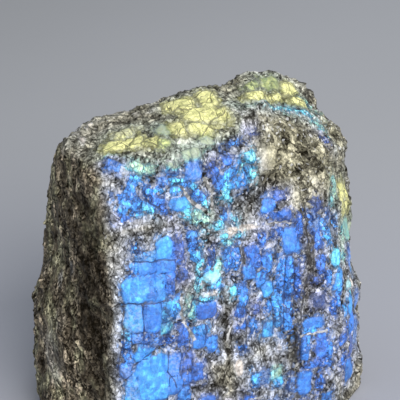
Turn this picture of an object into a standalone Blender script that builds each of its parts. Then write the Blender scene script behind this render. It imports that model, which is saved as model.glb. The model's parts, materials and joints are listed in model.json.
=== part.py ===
"""Rough labradorite chunk: one broken piece of rock that stands on its flattest break.

Metres, +Z up. The origin is the centre of the chunk's outline on the surface it stands on. The broad
cleavage face, where the blue colour plays, faces -Y, and +X is to its right.
"""

import bmesh
import bpy
from mathutils import Matrix, Vector, noise

MM = 0.001

# The block's outermost corners, in millimetres. Their hull is the chunk before it is roughened.
CORNERS = {
    "front_left_foot": (-32, -29, 0),
    "front_left_edge": (-31, -29, 50),
    "front_left_top": (-34, -20, 85),
    "front_right_foot": (33, -27, 0),
    "front_right_edge": (32, -25, 46),
    "front_right_top": (31, -17, 78),
    "brow_left": (-8, -25, 86),
    "brow_right": (12, -16, 91),
    "crest_left": (-38, -6, 85),
    "crest_middle": (-22, -3, 90.5),
    "crest_right": (2, 0, 94),
    "peak": (20, 2, 96),
    "peak_back": (30, 6, 93),
    "below_peak": (35, 3, 85),
    "right_shoulder": (45.5, 0, 76),
    "right_shoulder_low": (45, -3, 62),
    "right_edge": (46, -8, 29),
    "right_edge_low": (47, -10, 9),
    "right_foot": (47, -13, 0),
    "left_shoulder": (-38, 6, 68),
    "left_edge": (-40, 17, 42),
    "left_edge_low": (-41, 18, 18),
    "left_heel": (-46, 5, 7),
    "left_foot": (-44, -10, 0),
    "back_left_foot": (-36, 25, 0),
    "back_left_top": (-28, 14, 74),
    "back_middle": (4, 30, 22),
    "back_right_foot": (35, 24, 0),
    "back_right_edge": (41, 18, 40),
    "back_right_top": (27, 22, 76),
    "heel_left": (-43, 12, 0),
}

# Where the break swells out of the hull or is hollowed into it: centre, radius and lift, in millimetres.
FEATURES = {
    "saddle_below_peak": ((9, 0, 93), 9, -0.8),
    "chip_right_of_peak": ((38, 2, 82), 8, -1.8),
    "notch_under_shoulder": ((45, -4, 65), 8, -1.2),
    "waist_right": ((46, -7, 44), 12, -1.9),
    "chip_right_foot": ((40, -20, 1), 6, -0.8),
    "waist_left": ((-41, 16, 38), 10, -1.8),
    "notch_left_heel": ((-44, 8, 12), 8, -1.8),
    "ridge_bite": ((-31, -27, 60), 9, -1.4),
    "left_hollow": ((-38, -8, 50), 16, -2.0),
    "left_toe": ((-44, -6, 6), 10, 1.4),
    "matrix_bulge": ((24, -19, 72), 13, 1.6),
    "brow_hollow": ((0, -22, 85), 11, -1.2),
    "fissure_top": ((18, -24, 60), 6, -0.9),
    "fissure_middle": ((18, -26, 42), 6, -1.1),
    "fissure_foot": ((17, -27, 22), 6, -1.1),
    "back_scoop": ((-12, 26, 52), 20, -3.0),
    "back_ledge": ((18, 28, 30), 14, 1.6),
}

VOXEL = 2.2  # side of the grid that the hull is resampled on
FACES = 5600  # triangles kept in the finished solid
CONTACT = 0.3  # points lower than this lie on the ground

# The broken surface over the hull, in millimetres.
SEED = 4  # fixes the direction in which the blocks' borders wander
SWELL_WAVELENGTH = 26.0  # the slow swell of the breaks
SWELL_HEIGHT = 1.5
SWELL_OFFSET = Vector((3.1, 0.0, 7.7))  # shifts the slow swell to a place that suits the outline
BLOCK_SIDES = (9.0, 40.0, 26.0)  # the cleavage blocks that stand out of the faces
BLOCK_STEP = 0.9  # height between the deepest and the proudest block
BLOCK_DRIFT = 0.35  # how far a block's borders wander, as a share of its sides
CRUMBLE_WAVELENGTH = 7.0  # the coarse crumbling
CRUMBLE_HEIGHT = 0.6
CRUMBLE_FALLOFF = 0.9
CRUMBLE_LACUNARITY = 2.1
CRUMBLE_OCTAVES = 3

# The foot of the chunk.
FOOT_BAND = 2.5  # height over which the walls' roughness fades towards the ground
FOOT_ROUGHNESS = 0.4  # share of the roughness that is left at the ground
DOWNWARD = -0.5  # a normal lower than this belongs to the face that the chunk stands on
HOLLOW_WAVELENGTH = 9.0  # the hollows in that face
HOLLOW_DEPTH = 1.0

STONE_COLOUR = (0.16, 0.15, 0.13, 1.0)
STONE_ROUGHNESS = 0.5


def clear_scene():
    """Removes whatever the scene holds."""
    for item in list(bpy.data.objects):
        bpy.data.objects.remove(item)


def stone_material():
    """The plain grey-brown of the rock."""
    material = bpy.data.materials.new("labradorite")
    material.use_nodes = True
    shader = material.node_tree.nodes["Principled BSDF"]
    shader.inputs["Base Color"].default_value = STONE_COLOUR
    shader.inputs["Roughness"].default_value = STONE_ROUGHNESS
    shader.inputs["Metallic"].default_value = 0.0
    return material


def hull_of_corners():
    """A mesh object that is the hull of the block's corners, in a collection of its own."""
    mesh = bpy.data.meshes.new("labradorite_chunk")
    shape = bmesh.new()
    for corner in CORNERS.values():
        shape.verts.new(Vector(corner) * MM)
    found = bmesh.ops.convex_hull(shape, input=shape.verts)
    inside = {item for item in found["geom_interior"] if isinstance(item, bmesh.types.BMVert)}
    bmesh.ops.delete(shape, geom=list(inside), context="VERTS")
    bmesh.ops.recalc_face_normals(shape, faces=shape.faces)
    shape.to_mesh(mesh)
    shape.free()
    stone = bpy.data.objects.new("labradorite_chunk", mesh)
    group = bpy.data.collections.new("rough_labradorite_chunk")
    bpy.context.scene.collection.children.link(group)
    group.objects.link(stone)
    return stone


def bake_modifiers(stone):
    """Replaces the object's mesh by its evaluated one, and drops its modifiers."""
    graph = bpy.context.evaluated_depsgraph_get()
    baked = bpy.data.meshes.new_from_object(stone.evaluated_get(graph))
    stone.modifiers.clear()
    stone.data = baked


def resample(stone):
    """Lays an even grid of small faces over the hull."""
    grid = stone.modifiers.new("Resample", "REMESH")
    grid.mode = "VOXEL"
    grid.voxel_size = VOXEL * MM
    bake_modifiers(stone)


def lift_of_features(place):
    """The lift, in millimetres, that the named features give a place, also in millimetres."""
    lift = 0.0
    for centre, radius, height in FEATURES.values():
        share = (place - Vector(centre)).length / radius
        if share < 1.0:
            lift += height * (1.0 - share * share) ** 2
    return lift


def lift_of_block(place):
    """How far the cleavage block that holds a place stands out, in millimetres."""
    drift = noise.noise_vector(place / SWELL_WAVELENGTH) * BLOCK_DRIFT
    block = Vector(place[axis] / BLOCK_SIDES[axis] + drift[axis] for axis in range(3))
    return BLOCK_STEP * (noise.cell(block) - 0.5)


def roughness_at(place):
    """The height of the broken surface over the hull, in millimetres."""
    slow = noise.noise(place / SWELL_WAVELENGTH + SWELL_OFFSET) * SWELL_HEIGHT
    coarse = noise.fractal(place / CRUMBLE_WAVELENGTH, CRUMBLE_FALLOFF, CRUMBLE_LACUNARITY, CRUMBLE_OCTAVES)
    return lift_of_features(place) + slow + lift_of_block(place) + coarse * CRUMBLE_HEIGHT


def roughen(stone):
    """Moves every point along its normal to the broken surface, less so near the ground."""
    normals = [vertex.normal.copy() for vertex in stone.data.vertices]
    for vertex, normal in zip(stone.data.vertices, normals):
        place = vertex.co / MM
        if normal.z < DOWNWARD and place.z < FOOT_BAND:
            vertex.co.z += max(0.0, noise.noise(place / HOLLOW_WAVELENGTH)) * HOLLOW_DEPTH * MM
        else:
            fade = min(1.0, max(0.0, place.z / FOOT_BAND))
            share = FOOT_ROUGHNESS + (1.0 - FOOT_ROUGHNESS) * fade
            outward = Vector((normal.x, normal.y, normal.z * fade))
            vertex.co += outward * roughness_at(place) * share * MM


def thin_out(stone):
    """Drops the points that the shape can do without."""
    triangles = sum(len(face.vertices) - 2 for face in stone.data.polygons)
    fewer = stone.modifiers.new("Fewer", "DECIMATE")
    fewer.ratio = min(1.0, FACES / triangles)
    bake_modifiers(stone)


def settle(stone):
    """Levels the points that touch the ground, and centres the outline on the origin."""
    points = [vertex.co for vertex in stone.data.vertices]
    for point in points:
        if point.z < CONTACT * MM:
            point.z = 0.0
    middle = [(min(p[axis] for p in points) + max(p[axis] for p in points)) / 2 for axis in range(2)]
    stone.data.transform(Matrix.Translation((-middle[0], -middle[1], 0.0)))


def main():
    """Builds the chunk."""
    clear_scene()
    noise.seed_set(SEED)
    stone = hull_of_corners()
    resample(stone)
    roughen(stone)
    thin_out(stone)
    settle(stone)
    stone.data.materials.append(stone_material())


main()
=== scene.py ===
"""The looks of a rough labradorite chunk: a broken block of dark feldspar rock that stands upright.

Its broad front face is a cleavage plane with coloured blocks that flash blue, its sloping crest flashes
yellow, its left side is dark and fibrous, and crushed pale grains lie along its edges.
Lengths are in millimetres unless a name says otherwise, and Blender's own units are metres.
"""

import json
import logging
import math
import random
from dataclasses import dataclass, field
from enum import Enum

import bpy
import numpy as np
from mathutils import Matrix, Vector, noise
from mathutils.bvhtree import BVHTree

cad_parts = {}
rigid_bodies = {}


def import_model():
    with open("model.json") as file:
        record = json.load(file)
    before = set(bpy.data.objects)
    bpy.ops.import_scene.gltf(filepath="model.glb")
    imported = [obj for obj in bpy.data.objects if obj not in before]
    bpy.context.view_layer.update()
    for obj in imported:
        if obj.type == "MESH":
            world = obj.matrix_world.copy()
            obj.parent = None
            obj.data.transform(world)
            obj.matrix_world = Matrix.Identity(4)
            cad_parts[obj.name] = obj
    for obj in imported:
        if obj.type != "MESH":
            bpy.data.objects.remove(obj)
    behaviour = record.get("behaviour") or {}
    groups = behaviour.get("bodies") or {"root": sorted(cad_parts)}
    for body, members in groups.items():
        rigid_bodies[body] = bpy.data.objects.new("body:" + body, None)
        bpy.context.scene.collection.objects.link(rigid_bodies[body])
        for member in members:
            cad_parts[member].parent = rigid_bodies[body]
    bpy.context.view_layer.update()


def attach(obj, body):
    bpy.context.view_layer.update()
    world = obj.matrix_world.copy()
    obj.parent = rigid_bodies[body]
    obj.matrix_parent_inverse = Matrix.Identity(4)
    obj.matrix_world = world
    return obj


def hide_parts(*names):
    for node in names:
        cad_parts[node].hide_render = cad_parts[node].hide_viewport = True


MM = 0.001
NODE = "labradorite_chunk"
FAR = 99.0  # farther off than any block or crack
CLEAR = 200.0  # from the frame's middle to a place well outside the chunk
NEAR_SIDE = 170.0  # from that place to the chunk's near side
MIXED_NUMBERS = slice(2, 4)  # the Mix node's inputs for two numbers
MIXED_COLOURS = slice(6, 8)  # the Mix node's inputs for two colours
COLOUR_RESULT = 2  # and its output for their mix

Node = bpy.types.Node
Socket = bpy.types.NodeSocket
Size = tuple[float, float, float]
Colour = tuple[float, float, float]
Stops = tuple[tuple[float, Colour], ...]

log = logging.getLogger("labradorite")


class Face(Enum):
    """A side of the chunk: where its two measures lie, and the way in."""

    FRONT = ((1, 0, 0), (0, 0, 1), (0, 1, 0))
    BACK = ((1, 0, 0), (0, 0, 1), (0, -1, 0))
    LEFT = ((0, 1, 0), (0, 0, 1), (1, 0, 0))
    RIGHT = ((0, 1, 0), (0, 0, 1), (-1, 0, 0))
    CREST = ((1, 0, 0), (0, 1, 0), (0, 0, -1))

    def outside(self, first: float, second: float) -> Vector:
        """A place well outside the chunk, from which the way in meets the face.

        Args:
            first: measure along the face's first axis.
            second: measure along its second axis.

        Returns:
            The place, in millimetres.
        """
        along, over, inward = (Vector(axis) for axis in self.value)
        return along * first + over * second - inward * CLEAR

    def inward(self) -> Vector:
        """The way into the chunk."""
        return Vector(self.value[2])

    def upward(self) -> Vector:
        """The way that counts as up on this face."""
        return Vector(self.value[1])


class Flash(Enum):
    """The colours that the feldspar plays in: place on the colour scale, and milkiness."""

    VIOLET = (0.02, 0.10)
    ROYAL = (0.18, 0.00)
    AZURE = (0.34, 0.00)
    SKY = (0.47, 0.00)
    CYAN = (0.62, 0.00)
    TEAL = (0.72, 0.15)
    SEAFOAM = (0.76, 0.35)
    GREEN = (0.86, 0.10)
    YELLOW = (0.98, 0.00)
    PERIWINKLE = (0.28, 0.60)
    MIST = (0.46, 0.60)
    FROST = (0.82, 0.80)
    CREAM = (0.94, 0.80)
    ICE = (0.64, 0.85)


class Bed(Enum):
    """The kinds of rock between the coloured blocks, as the field that each one raises."""

    PALE = "pale"
    SOOT = "soot"
    BARK = "bark"
    FLAKE = "flake"


@dataclass(frozen=True)
class Crystal:
    """A coloured block that lies open on a face."""

    first: float
    second: float
    half_width: float
    half_height: float
    flash: Flash
    glow: float = 1.0
    turn: float = 0.0


@dataclass(frozen=True)
class Patch:
    """A stretch of one kind of rock on a face."""

    first: float
    second: float
    half_width: float
    half_height: float
    bed: Bed
    strength: float = 1.0
    turn: float = 0.0


@dataclass(frozen=True)
class Vein:
    """A thin crack or vein across the front face, from point to point."""

    points: tuple[tuple[float, float], ...]
    half_width: float = 0.2
    bed: Bed = Bed.SOOT


@dataclass(frozen=True)
class Swell:
    """A broad, low rise of the surface, or a hollow where its height is below zero."""

    middle: tuple[float, float, float]
    radius: float
    height: float


@dataclass(frozen=True)
class Clusters:
    """Clusters of small, dull blocks on a side that has no broad cleavage face."""

    face: Face
    count: int
    near: float
    far: float
    top: float
    hues: tuple[Flash, ...]
    foot: float = 10.0
    blocks: tuple[int, int] = (6, 10)
    spread: tuple[float, float] = (3.4, 5.0)
    half_widths: tuple[float, float] = (0.6, 2.0)
    slenderness: tuple[float, float] = (1.0, 2.4)
    glows: tuple[float, float] = (0.4, 0.9)
    most_turn: float = 15.0

    def scatter(self, chance: random.Random) -> list[tuple[Face, Crystal]]:
        """Draws the blocks, cluster by cluster.

        Args:
            chance: where the random numbers come from.

        Returns:
            The blocks, each with the face that it lies on.
        """
        found = []
        for _ in range(self.count):
            middle = (chance.uniform(self.near, self.far), chance.uniform(self.foot, self.top))
            hue = chance.choice(self.hues)
            for _ in range(chance.randint(*self.blocks)):
                place = [chance.gauss(start, spread) for start, spread in zip(middle, self.spread)]
                wide = chance.uniform(*self.half_widths)
                tall = wide * chance.uniform(*self.slenderness)
                glow = chance.uniform(*self.glows)
                turn = chance.uniform(-self.most_turn, self.most_turn)
                found.append((self.face, Crystal(*place, wide, tall, hue, glow, turn)))
        return found


FRONT_CRYSTALS = (
    # The brow, from the left corner to the middle.
    Crystal(-28.6, 82.8, 1.7, 1.3, Flash.PERIWINKLE, 0.9, -15),
    Crystal(-23.9, 79.6, 1.4, 1.0, Flash.SKY, 0.9, -20),
    Crystal(-25.2, 77.6, 1.1, 1.8, Flash.AZURE, 1.0, -20),
    Crystal(-26.4, 75.6, 2.0, 0.9, Flash.AZURE, 0.85),
    Crystal(-27.2, 73.2, 1.4, 1.6, Flash.SKY, 1.1, -15),
    Crystal(-24.1, 73.4, 1.1, 1.4, Flash.AZURE, 1.0),
    Crystal(-27.6, 70.6, 1.2, 0.7, Flash.ROYAL, 0.7),
    Crystal(-24.4, 71.2, 1.3, 0.7, Flash.SKY, 0.8),
    Crystal(-20.9, 76.3, 0.9, 1.7, Flash.AZURE, 1.0, 15),
    Crystal(-21.2, 72.2, 1.8, 1.0, Flash.CYAN, 1.15, -30),
    Crystal(-18.6, 73.6, 1.8, 1.2, Flash.ROYAL, 1.05, -25),
    Crystal(-17.1, 78.7, 1.2, 1.3, Flash.PERIWINKLE, 0.9),
    Crystal(-18.1, 76.2, 1.4, 0.8, Flash.SKY, 0.9),
    Crystal(-17.3, 71.4, 1.4, 0.7, Flash.ROYAL, 0.6, -30),
    Crystal(-14.6, 81.0, 1.5, 1.0, Flash.AZURE, 0.5),
    Crystal(-13.2, 78.5, 1.4, 0.8, Flash.CYAN, 1.15),
    Crystal(-13.9, 75.8, 1.3, 1.4, Flash.SKY, 0.95),
    Crystal(-11.2, 77.0, 1.1, 0.7, Flash.AZURE, 0.95),
    Crystal(-12.9, 71.9, 2.4, 1.7, Flash.SKY, 1.0, -10),
    Crystal(-10.8, 69.4, 0.8, 1.2, Flash.CYAN, 1.05, -10),
    Crystal(-9.4, 80.2, 1.9, 2.7, Flash.PERIWINKLE, 1.0),
    Crystal(-8.9, 76.1, 0.9, 0.9, Flash.CYAN, 1.1),
    Crystal(-7.7, 73.4, 1.6, 1.1, Flash.AZURE, 1.0, -40),
    Crystal(-6.9, 71.2, 1.0, 0.6, Flash.CYAN, 1.1),
    Crystal(-8.4, 68.6, 1.0, 1.4, Flash.SEAFOAM, 0.95),
    Crystal(-6.2, 67.2, 0.9, 0.8, Flash.SEAFOAM, 0.9),
    # The leaning group right of the middle.
    Crystal(-3.4, 78.4, 1.0, 1.8, Flash.ROYAL, 0.9, 10),
    Crystal(-3.6, 81.2, 0.6, 0.7, Flash.VIOLET, 0.6),
    Crystal(0.5, 81.2, 1.3, 1.1, Flash.ROYAL, 1.0),
    Crystal(-1.8, 76.2, 1.3, 1.4, Flash.AZURE, 1.0, -20),
    Crystal(2.1, 78.0, 2.9, 1.2, Flash.SKY, 1.05, 35),
    Crystal(-0.3, 73.2, 1.2, 2.1, Flash.CYAN, 1.15),
    Crystal(2.6, 74.8, 1.2, 1.5, Flash.SKY, 0.95, -10),
    Crystal(5.0, 75.2, 0.9, 1.8, Flash.AZURE, 0.85, -15),
    Crystal(7.0, 76.4, 0.9, 1.5, Flash.CYAN, 1.0),
    Crystal(6.8, 80.6, 1.2, 1.5, Flash.CYAN, 0.95, 15),
    Crystal(4.7, 78.4, 0.8, 0.9, Flash.TEAL, 0.95),
    Crystal(2.6, 84.6, 1.3, 0.4, Flash.AZURE, 0.9, 5),
    Crystal(8.0, 86.2, 0.6, 0.5, Flash.VIOLET, 0.8),
    # The left column, tier by tier.
    Crystal(-17.3, 60.4, 2.4, 3.1, Flash.SKY, 1.2),
    Crystal(-22.2, 59.6, 2.5, 1.4, Flash.MIST, 0.95),
    Crystal(-24.9, 61.8, 0.8, 1.2, Flash.AZURE, 0.8, 15),
    Crystal(-13.6, 59.4, 1.2, 2.9, Flash.VIOLET, 0.85),
    Crystal(-22.2, 56.5, 2.5, 1.9, Flash.AZURE, 1.0),
    Crystal(-17.2, 55.9, 2.6, 1.8, Flash.AZURE, 0.9),
    Crystal(-25.8, 56.6, 0.9, 1.4, Flash.AZURE, 0.85),
    Crystal(-26.1, 51.2, 3.0, 3.4, Flash.SKY, 1.0),
    Crystal(-21.7, 51.4, 1.6, 3.7, Flash.AZURE, 0.95),
    Crystal(-18.8, 50.6, 1.5, 3.6, Flash.SKY, 0.95),
    Crystal(-16.2, 51.6, 1.3, 3.2, Flash.ROYAL, 0.9),
    Crystal(-12.9, 53.2, 1.1, 1.3, Flash.VIOLET, 0.5),
    Crystal(-26.3, 43.4, 2.3, 3.9, Flash.MIST, 1.0),
    Crystal(-21.6, 43.3, 2.6, 4.0, Flash.AZURE, 0.95),
    Crystal(-18.0, 43.9, 1.3, 3.3, Flash.SKY, 0.55),
    Crystal(-15.5, 44.6, 1.3, 2.5, Flash.SKY, 1.15),
    Crystal(-18.2, 39.2, 1.5, 1.7, Flash.CYAN, 0.65),
    Crystal(-28.0, 38.6, 0.8, 1.3, Flash.CYAN, 1.0),
    Crystal(-28.5, 35.6, 0.8, 1.5, Flash.AZURE, 0.95),
    Crystal(-25.6, 37.8, 1.5, 1.4, Flash.PERIWINKLE, 0.95),
    Crystal(-23.3, 37.2, 0.9, 1.5, Flash.ROYAL, 0.5),
    Crystal(-21.3, 36.8, 1.0, 1.7, Flash.PERIWINKLE, 0.75),
    Crystal(-18.9, 35.6, 1.2, 0.9, Flash.ROYAL, 0.5),
    Crystal(-16.6, 35.2, 1.0, 0.9, Flash.ROYAL, 0.8),
    Crystal(-12.9, 36.0, 1.3, 2.7, Flash.ROYAL, 1.0),
    Crystal(-24.0, 33.2, 2.1, 2.3, Flash.SKY, 1.0, -15),
    Crystal(-27.9, 32.4, 1.1, 1.6, Flash.AZURE, 0.95),
    Crystal(-28.7, 28.9, 1.4, 2.2, Flash.PERIWINKLE, 1.0),
    Crystal(-21.5, 24.7, 4.4, 6.8, Flash.SKY, 1.08),
    Crystal(-27.0, 22.4, 1.6, 4.2, Flash.MIST, 1.0),
    Crystal(-15.4, 27.4, 2.0, 3.3, Flash.PERIWINKLE, 1.05),
    Crystal(-12.1, 28.0, 1.3, 2.3, Flash.VIOLET, 0.9),
    Crystal(-9.2, 24.6, 1.5, 2.4, Flash.ROYAL, 0.8),
    Crystal(-12.3, 22.9, 1.2, 1.5, Flash.ROYAL, 0.75),
    Crystal(-15.4, 21.6, 2.0, 2.3, Flash.AZURE, 0.8),
    Crystal(-12.9, 18.0, 1.4, 2.1, Flash.AZURE, 0.85),
    Crystal(-6.4, 14.4, 1.9, 1.9, Flash.ROYAL, 0.8),
    Crystal(-21.2, 14.4, 3.0, 3.0, Flash.AZURE, 0.95),
    # The slivers between the column and the middle.
    Crystal(-9.9, 62.0, 1.1, 2.3, Flash.AZURE, 1.05),
    Crystal(-9.2, 57.8, 1.2, 1.2, Flash.SKY, 0.95),
    Crystal(-5.2, 56.6, 0.9, 1.7, Flash.ROYAL, 0.5),
    Crystal(-6.4, 54.0, 0.8, 0.8, Flash.AZURE, 0.8),
    Crystal(-8.5, 53.0, 0.5, 4.4, Flash.CYAN, 0.95, -5),
    Crystal(-3.3, 54.0, 1.1, 1.5, Flash.SEAFOAM, 1.15),
    Crystal(-5.4, 51.3, 2.3, 1.7, Flash.ICE, 1.45, -25),
    Crystal(-3.9, 49.0, 1.2, 0.9, Flash.SKY, 1.05),
    Crystal(-6.5, 45.2, 1.7, 0.8, Flash.CYAN, 0.95),
    Crystal(-6.6, 42.1, 2.5, 2.3, Flash.ROYAL, 0.95),
    Crystal(-11.0, 42.6, 0.9, 2.0, Flash.TEAL, 0.5),
    Crystal(-8.2, 36.3, 1.8, 1.4, Flash.SKY, 1.0, -5),
    Crystal(-8.2, 33.0, 1.7, 1.7, Flash.AZURE, 1.0),
    Crystal(-5.0, 32.0, 1.4, 2.2, Flash.AZURE, 1.1),
    Crystal(-2.4, 65.0, 1.6, 0.9, Flash.CYAN, 0.9),
    Crystal(-1.3, 60.8, 0.9, 1.1, Flash.CYAN, 0.85),
    Crystal(0.7, 59.0, 0.9, 0.9, Flash.SEAFOAM, 0.9),
    Crystal(3.0, 60.9, 0.6, 0.5, Flash.CYAN, 0.8),
    Crystal(2.2, 64.6, 0.6, 0.8, Flash.CYAN, 0.7),
    Crystal(-0.4, 66.6, 0.8, 1.1, Flash.AZURE, 0.75),
    # The stripes left of the dark fissure.
    Crystal(-0.2, 54.9, 1.1, 2.7, Flash.AZURE, 0.95),
    Crystal(2.1, 54.9, 0.9, 2.8, Flash.AZURE, 1.0),
    Crystal(11.6, 67.3, 1.6, 1.9, Flash.AZURE, 1.05, -20),
    Crystal(14.9, 69.2, 1.2, 1.1, Flash.VIOLET, 0.85),
    Crystal(12.4, 64.4, 1.3, 0.7, Flash.ROYAL, 0.6),
    Crystal(15.9, 64.0, 1.6, 1.5, Flash.ROYAL, 0.85, 20),
    Crystal(20.3, 60.2, 0.9, 2.4, Flash.ROYAL, 0.8),
    Crystal(17.6, 56.6, 1.9, 3.6, Flash.AZURE, 0.95, 8),
    Crystal(14.0, 59.6, 1.5, 1.0, Flash.ROYAL, 0.8),
    Crystal(9.3, 58.6, 0.9, 1.3, Flash.ROYAL, 1.0),
    Crystal(6.8, 55.8, 1.6, 1.5, Flash.ROYAL, 0.95),
    Crystal(7.6, 52.9, 1.2, 1.5, Flash.ROYAL, 1.05),
    Crystal(5.7, 49.8, 1.5, 2.0, Flash.AZURE, 1.05, 12),
    Crystal(10.7, 51.4, 1.3, 2.6, Flash.AZURE, 1.0),
    Crystal(9.4, 46.8, 1.3, 1.8, Flash.AZURE, 0.9),
    Crystal(4.1, 43.9, 1.2, 3.1, Flash.AZURE, 1.05, 6),
    Crystal(1.5, 45.8, 1.1, 1.3, Flash.CYAN, 1.0),
    Crystal(11.3, 43.6, 1.6, 2.0, Flash.SKY, 1.05),
    Crystal(15.1, 46.8, 1.1, 4.8, Flash.AZURE, 1.1),
    Crystal(17.3, 46.4, 1.0, 5.0, Flash.AZURE, 0.95),
    Crystal(19.4, 45.0, 0.7, 3.2, Flash.ROYAL, 0.85),
    Crystal(3.4, 38.4, 1.3, 1.2, Flash.ROYAL, 0.8),
    Crystal(8.1, 38.8, 0.8, 1.1, Flash.VIOLET, 0.9),
    Crystal(11.7, 38.4, 1.1, 1.3, Flash.AZURE, 0.95),
    Crystal(14.3, 37.6, 1.0, 4.4, Flash.SKY, 1.05),
    Crystal(16.6, 35.8, 1.1, 4.6, Flash.AZURE, 1.0),
    Crystal(11.4, 32.0, 1.6, 1.9, Flash.SKY, 0.85),
    Crystal(6.9, 34.2, 0.9, 1.8, Flash.AZURE, 0.75),
    Crystal(3.9, 35.0, 1.1, 1.0, Flash.ROYAL, 0.6),
    Crystal(4.0, 28.0, 0.7, 0.8, Flash.AZURE, 0.8),
    Crystal(7.1, 18.4, 0.9, 1.8, Flash.SKY, 0.95),
    Crystal(9.8, 18.6, 1.4, 2.0, Flash.PERIWINKLE, 0.5),
    Crystal(13.3, 18.6, 1.5, 1.3, Flash.SEAFOAM, 0.85),
    Crystal(13.9, 16.0, 1.3, 1.2, Flash.SKY, 0.85),
    Crystal(17.6, 14.6, 0.9, 2.6, Flash.PERIWINKLE, 0.45),
    # Right of the dark fissure.
    Crystal(24.2, 61.8, 0.8, 1.5, Flash.PERIWINKLE, 0.7, 10),
    Crystal(25.2, 59.0, 1.5, 1.5, Flash.PERIWINKLE, 0.55),
    Crystal(25.4, 65.0, 1.2, 1.8, Flash.VIOLET, 0.5, 20),
    Crystal(28.2, 57.0, 0.9, 3.1, Flash.SKY, 1.1, 22),
    Crystal(25.5, 55.6, 1.1, 2.0, Flash.ROYAL, 1.05),
    Crystal(28.9, 60.6, 0.8, 1.2, Flash.PERIWINKLE, 0.6),
    Crystal(32.2, 67.6, 1.2, 2.4, Flash.SEAFOAM, 1.25, 12),
    Crystal(30.8, 64.2, 0.8, 1.2, Flash.TEAL, 0.6),
    Crystal(31.9, 57.2, 0.6, 1.1, Flash.SKY, 0.9),
    Crystal(35.3, 54.2, 1.1, 1.3, Flash.TEAL, 0.75),
    Crystal(35.6, 51.8, 1.0, 0.6, Flash.SEAFOAM, 0.85),
    Crystal(26.0, 48.9, 1.1, 2.3, Flash.ROYAL, 1.0),
    Crystal(25.0, 44.9, 1.3, 0.8, Flash.VIOLET, 0.45),
    Crystal(28.3, 44.6, 0.9, 1.8, Flash.AZURE, 0.95),
    Crystal(31.2, 49.0, 1.9, 1.9, Flash.CYAN, 1.1),
    Crystal(34.6, 47.6, 1.2, 1.1, Flash.TEAL, 0.7),
    Crystal(31.5, 43.4, 1.3, 2.6, Flash.SKY, 1.1, -22),
    Crystal(31.7, 38.6, 1.0, 2.5, Flash.AZURE, 1.05, -18),
    Crystal(29.6, 36.2, 0.8, 2.2, Flash.ROYAL, 0.85),
    Crystal(25.4, 38.6, 1.6, 1.5, Flash.VIOLET, 0.5),
    Crystal(37.4, 38.0, 1.1, 1.2, Flash.ICE, 0.9, 20),
    Crystal(34.6, 32.8, 1.1, 1.5, Flash.SKY, 0.9),
    Crystal(38.2, 33.6, 0.8, 1.6, Flash.CYAN, 0.95),
    Crystal(23.8, 32.4, 2.8, 1.6, Flash.AZURE, 1.0),
    Crystal(23.0, 30.3, 1.6, 0.7, Flash.SKY, 1.1),
    Crystal(26.1, 25.0, 1.5, 3.8, Flash.ROYAL, 1.05),
    Crystal(21.4, 25.8, 1.3, 3.1, Flash.AZURE, 0.95),
    Crystal(28.6, 22.6, 0.7, 2.5, Flash.AZURE, 0.95),
    Crystal(25.0, 20.2, 2.8, 1.1, Flash.ROYAL, 0.95),
    Crystal(21.6, 14.8, 1.8, 3.4, Flash.AZURE, 0.95),
    Crystal(25.9, 13.8, 0.6, 2.0, Flash.ROYAL, 0.9),
    Crystal(33.0, 25.6, 1.7, 1.2, Flash.ROYAL, 0.95, 10),
    Crystal(34.2, 29.0, 0.8, 1.1, Flash.ROYAL, 0.9),
    Crystal(37.4, 25.6, 1.0, 1.4, Flash.SKY, 0.9),
    Crystal(36.4, 19.4, 0.8, 2.0, Flash.ROYAL, 0.85),
    Crystal(33.2, 18.4, 1.1, 1.9, Flash.ROYAL, 0.8, 20),
    Crystal(35.2, 14.0, 0.9, 1.5, Flash.VIOLET, 0.85),
    # The rounded edge at the far right.
    Crystal(39.6, 59.6, 1.8, 3.6, Flash.YELLOW, 0.95, 6),
    Crystal(38.4, 52.0, 2.2, 2.8, Flash.SEAFOAM, 0.75),
    Crystal(41.2, 48.6, 1.5, 2.6, Flash.FROST, 0.8),
    Crystal(38.2, 44.6, 1.8, 2.8, Flash.PERIWINKLE, 0.8),
    Crystal(41.6, 40.0, 1.4, 2.8, Flash.MIST, 0.7),
    Crystal(37.4, 32.6, 2.2, 2.6, Flash.SKY, 1.0),
    Crystal(38.2, 26.4, 2.0, 3.0, Flash.ROYAL, 0.9),
    Crystal(41.8, 28.0, 1.5, 3.0, Flash.PERIWINKLE, 0.75),
    Crystal(38.8, 18.0, 2.0, 3.4, Flash.VIOLET, 0.8),
    Crystal(42.2, 19.0, 1.4, 3.0, Flash.PERIWINKLE, 0.65),
    Crystal(38.4, 10.0, 2.0, 3.0, Flash.AZURE, 0.7),
    # The foot.
    Crystal(-24.5, 8.0, 3.0, 3.2, Flash.AZURE, 0.9),
    Crystal(-17.0, 8.6, 2.4, 3.0, Flash.ROYAL, 0.85),
    Crystal(-9.5, 10.0, 2.2, 2.6, Flash.AZURE, 0.8),
    Crystal(-2.0, 8.0, 1.8, 2.6, Flash.VIOLET, 0.75),
    Crystal(5.4, 10.6, 1.5, 3.0, Flash.ROYAL, 0.85),
    Crystal(12.0, 7.6, 1.7, 2.6, Flash.AZURE, 0.8),
    Crystal(21.0, 6.0, 1.6, 2.6, Flash.ROYAL, 0.8),
    Crystal(28.6, 7.6, 1.3, 2.4, Flash.AZURE, 0.8),
)

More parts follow.
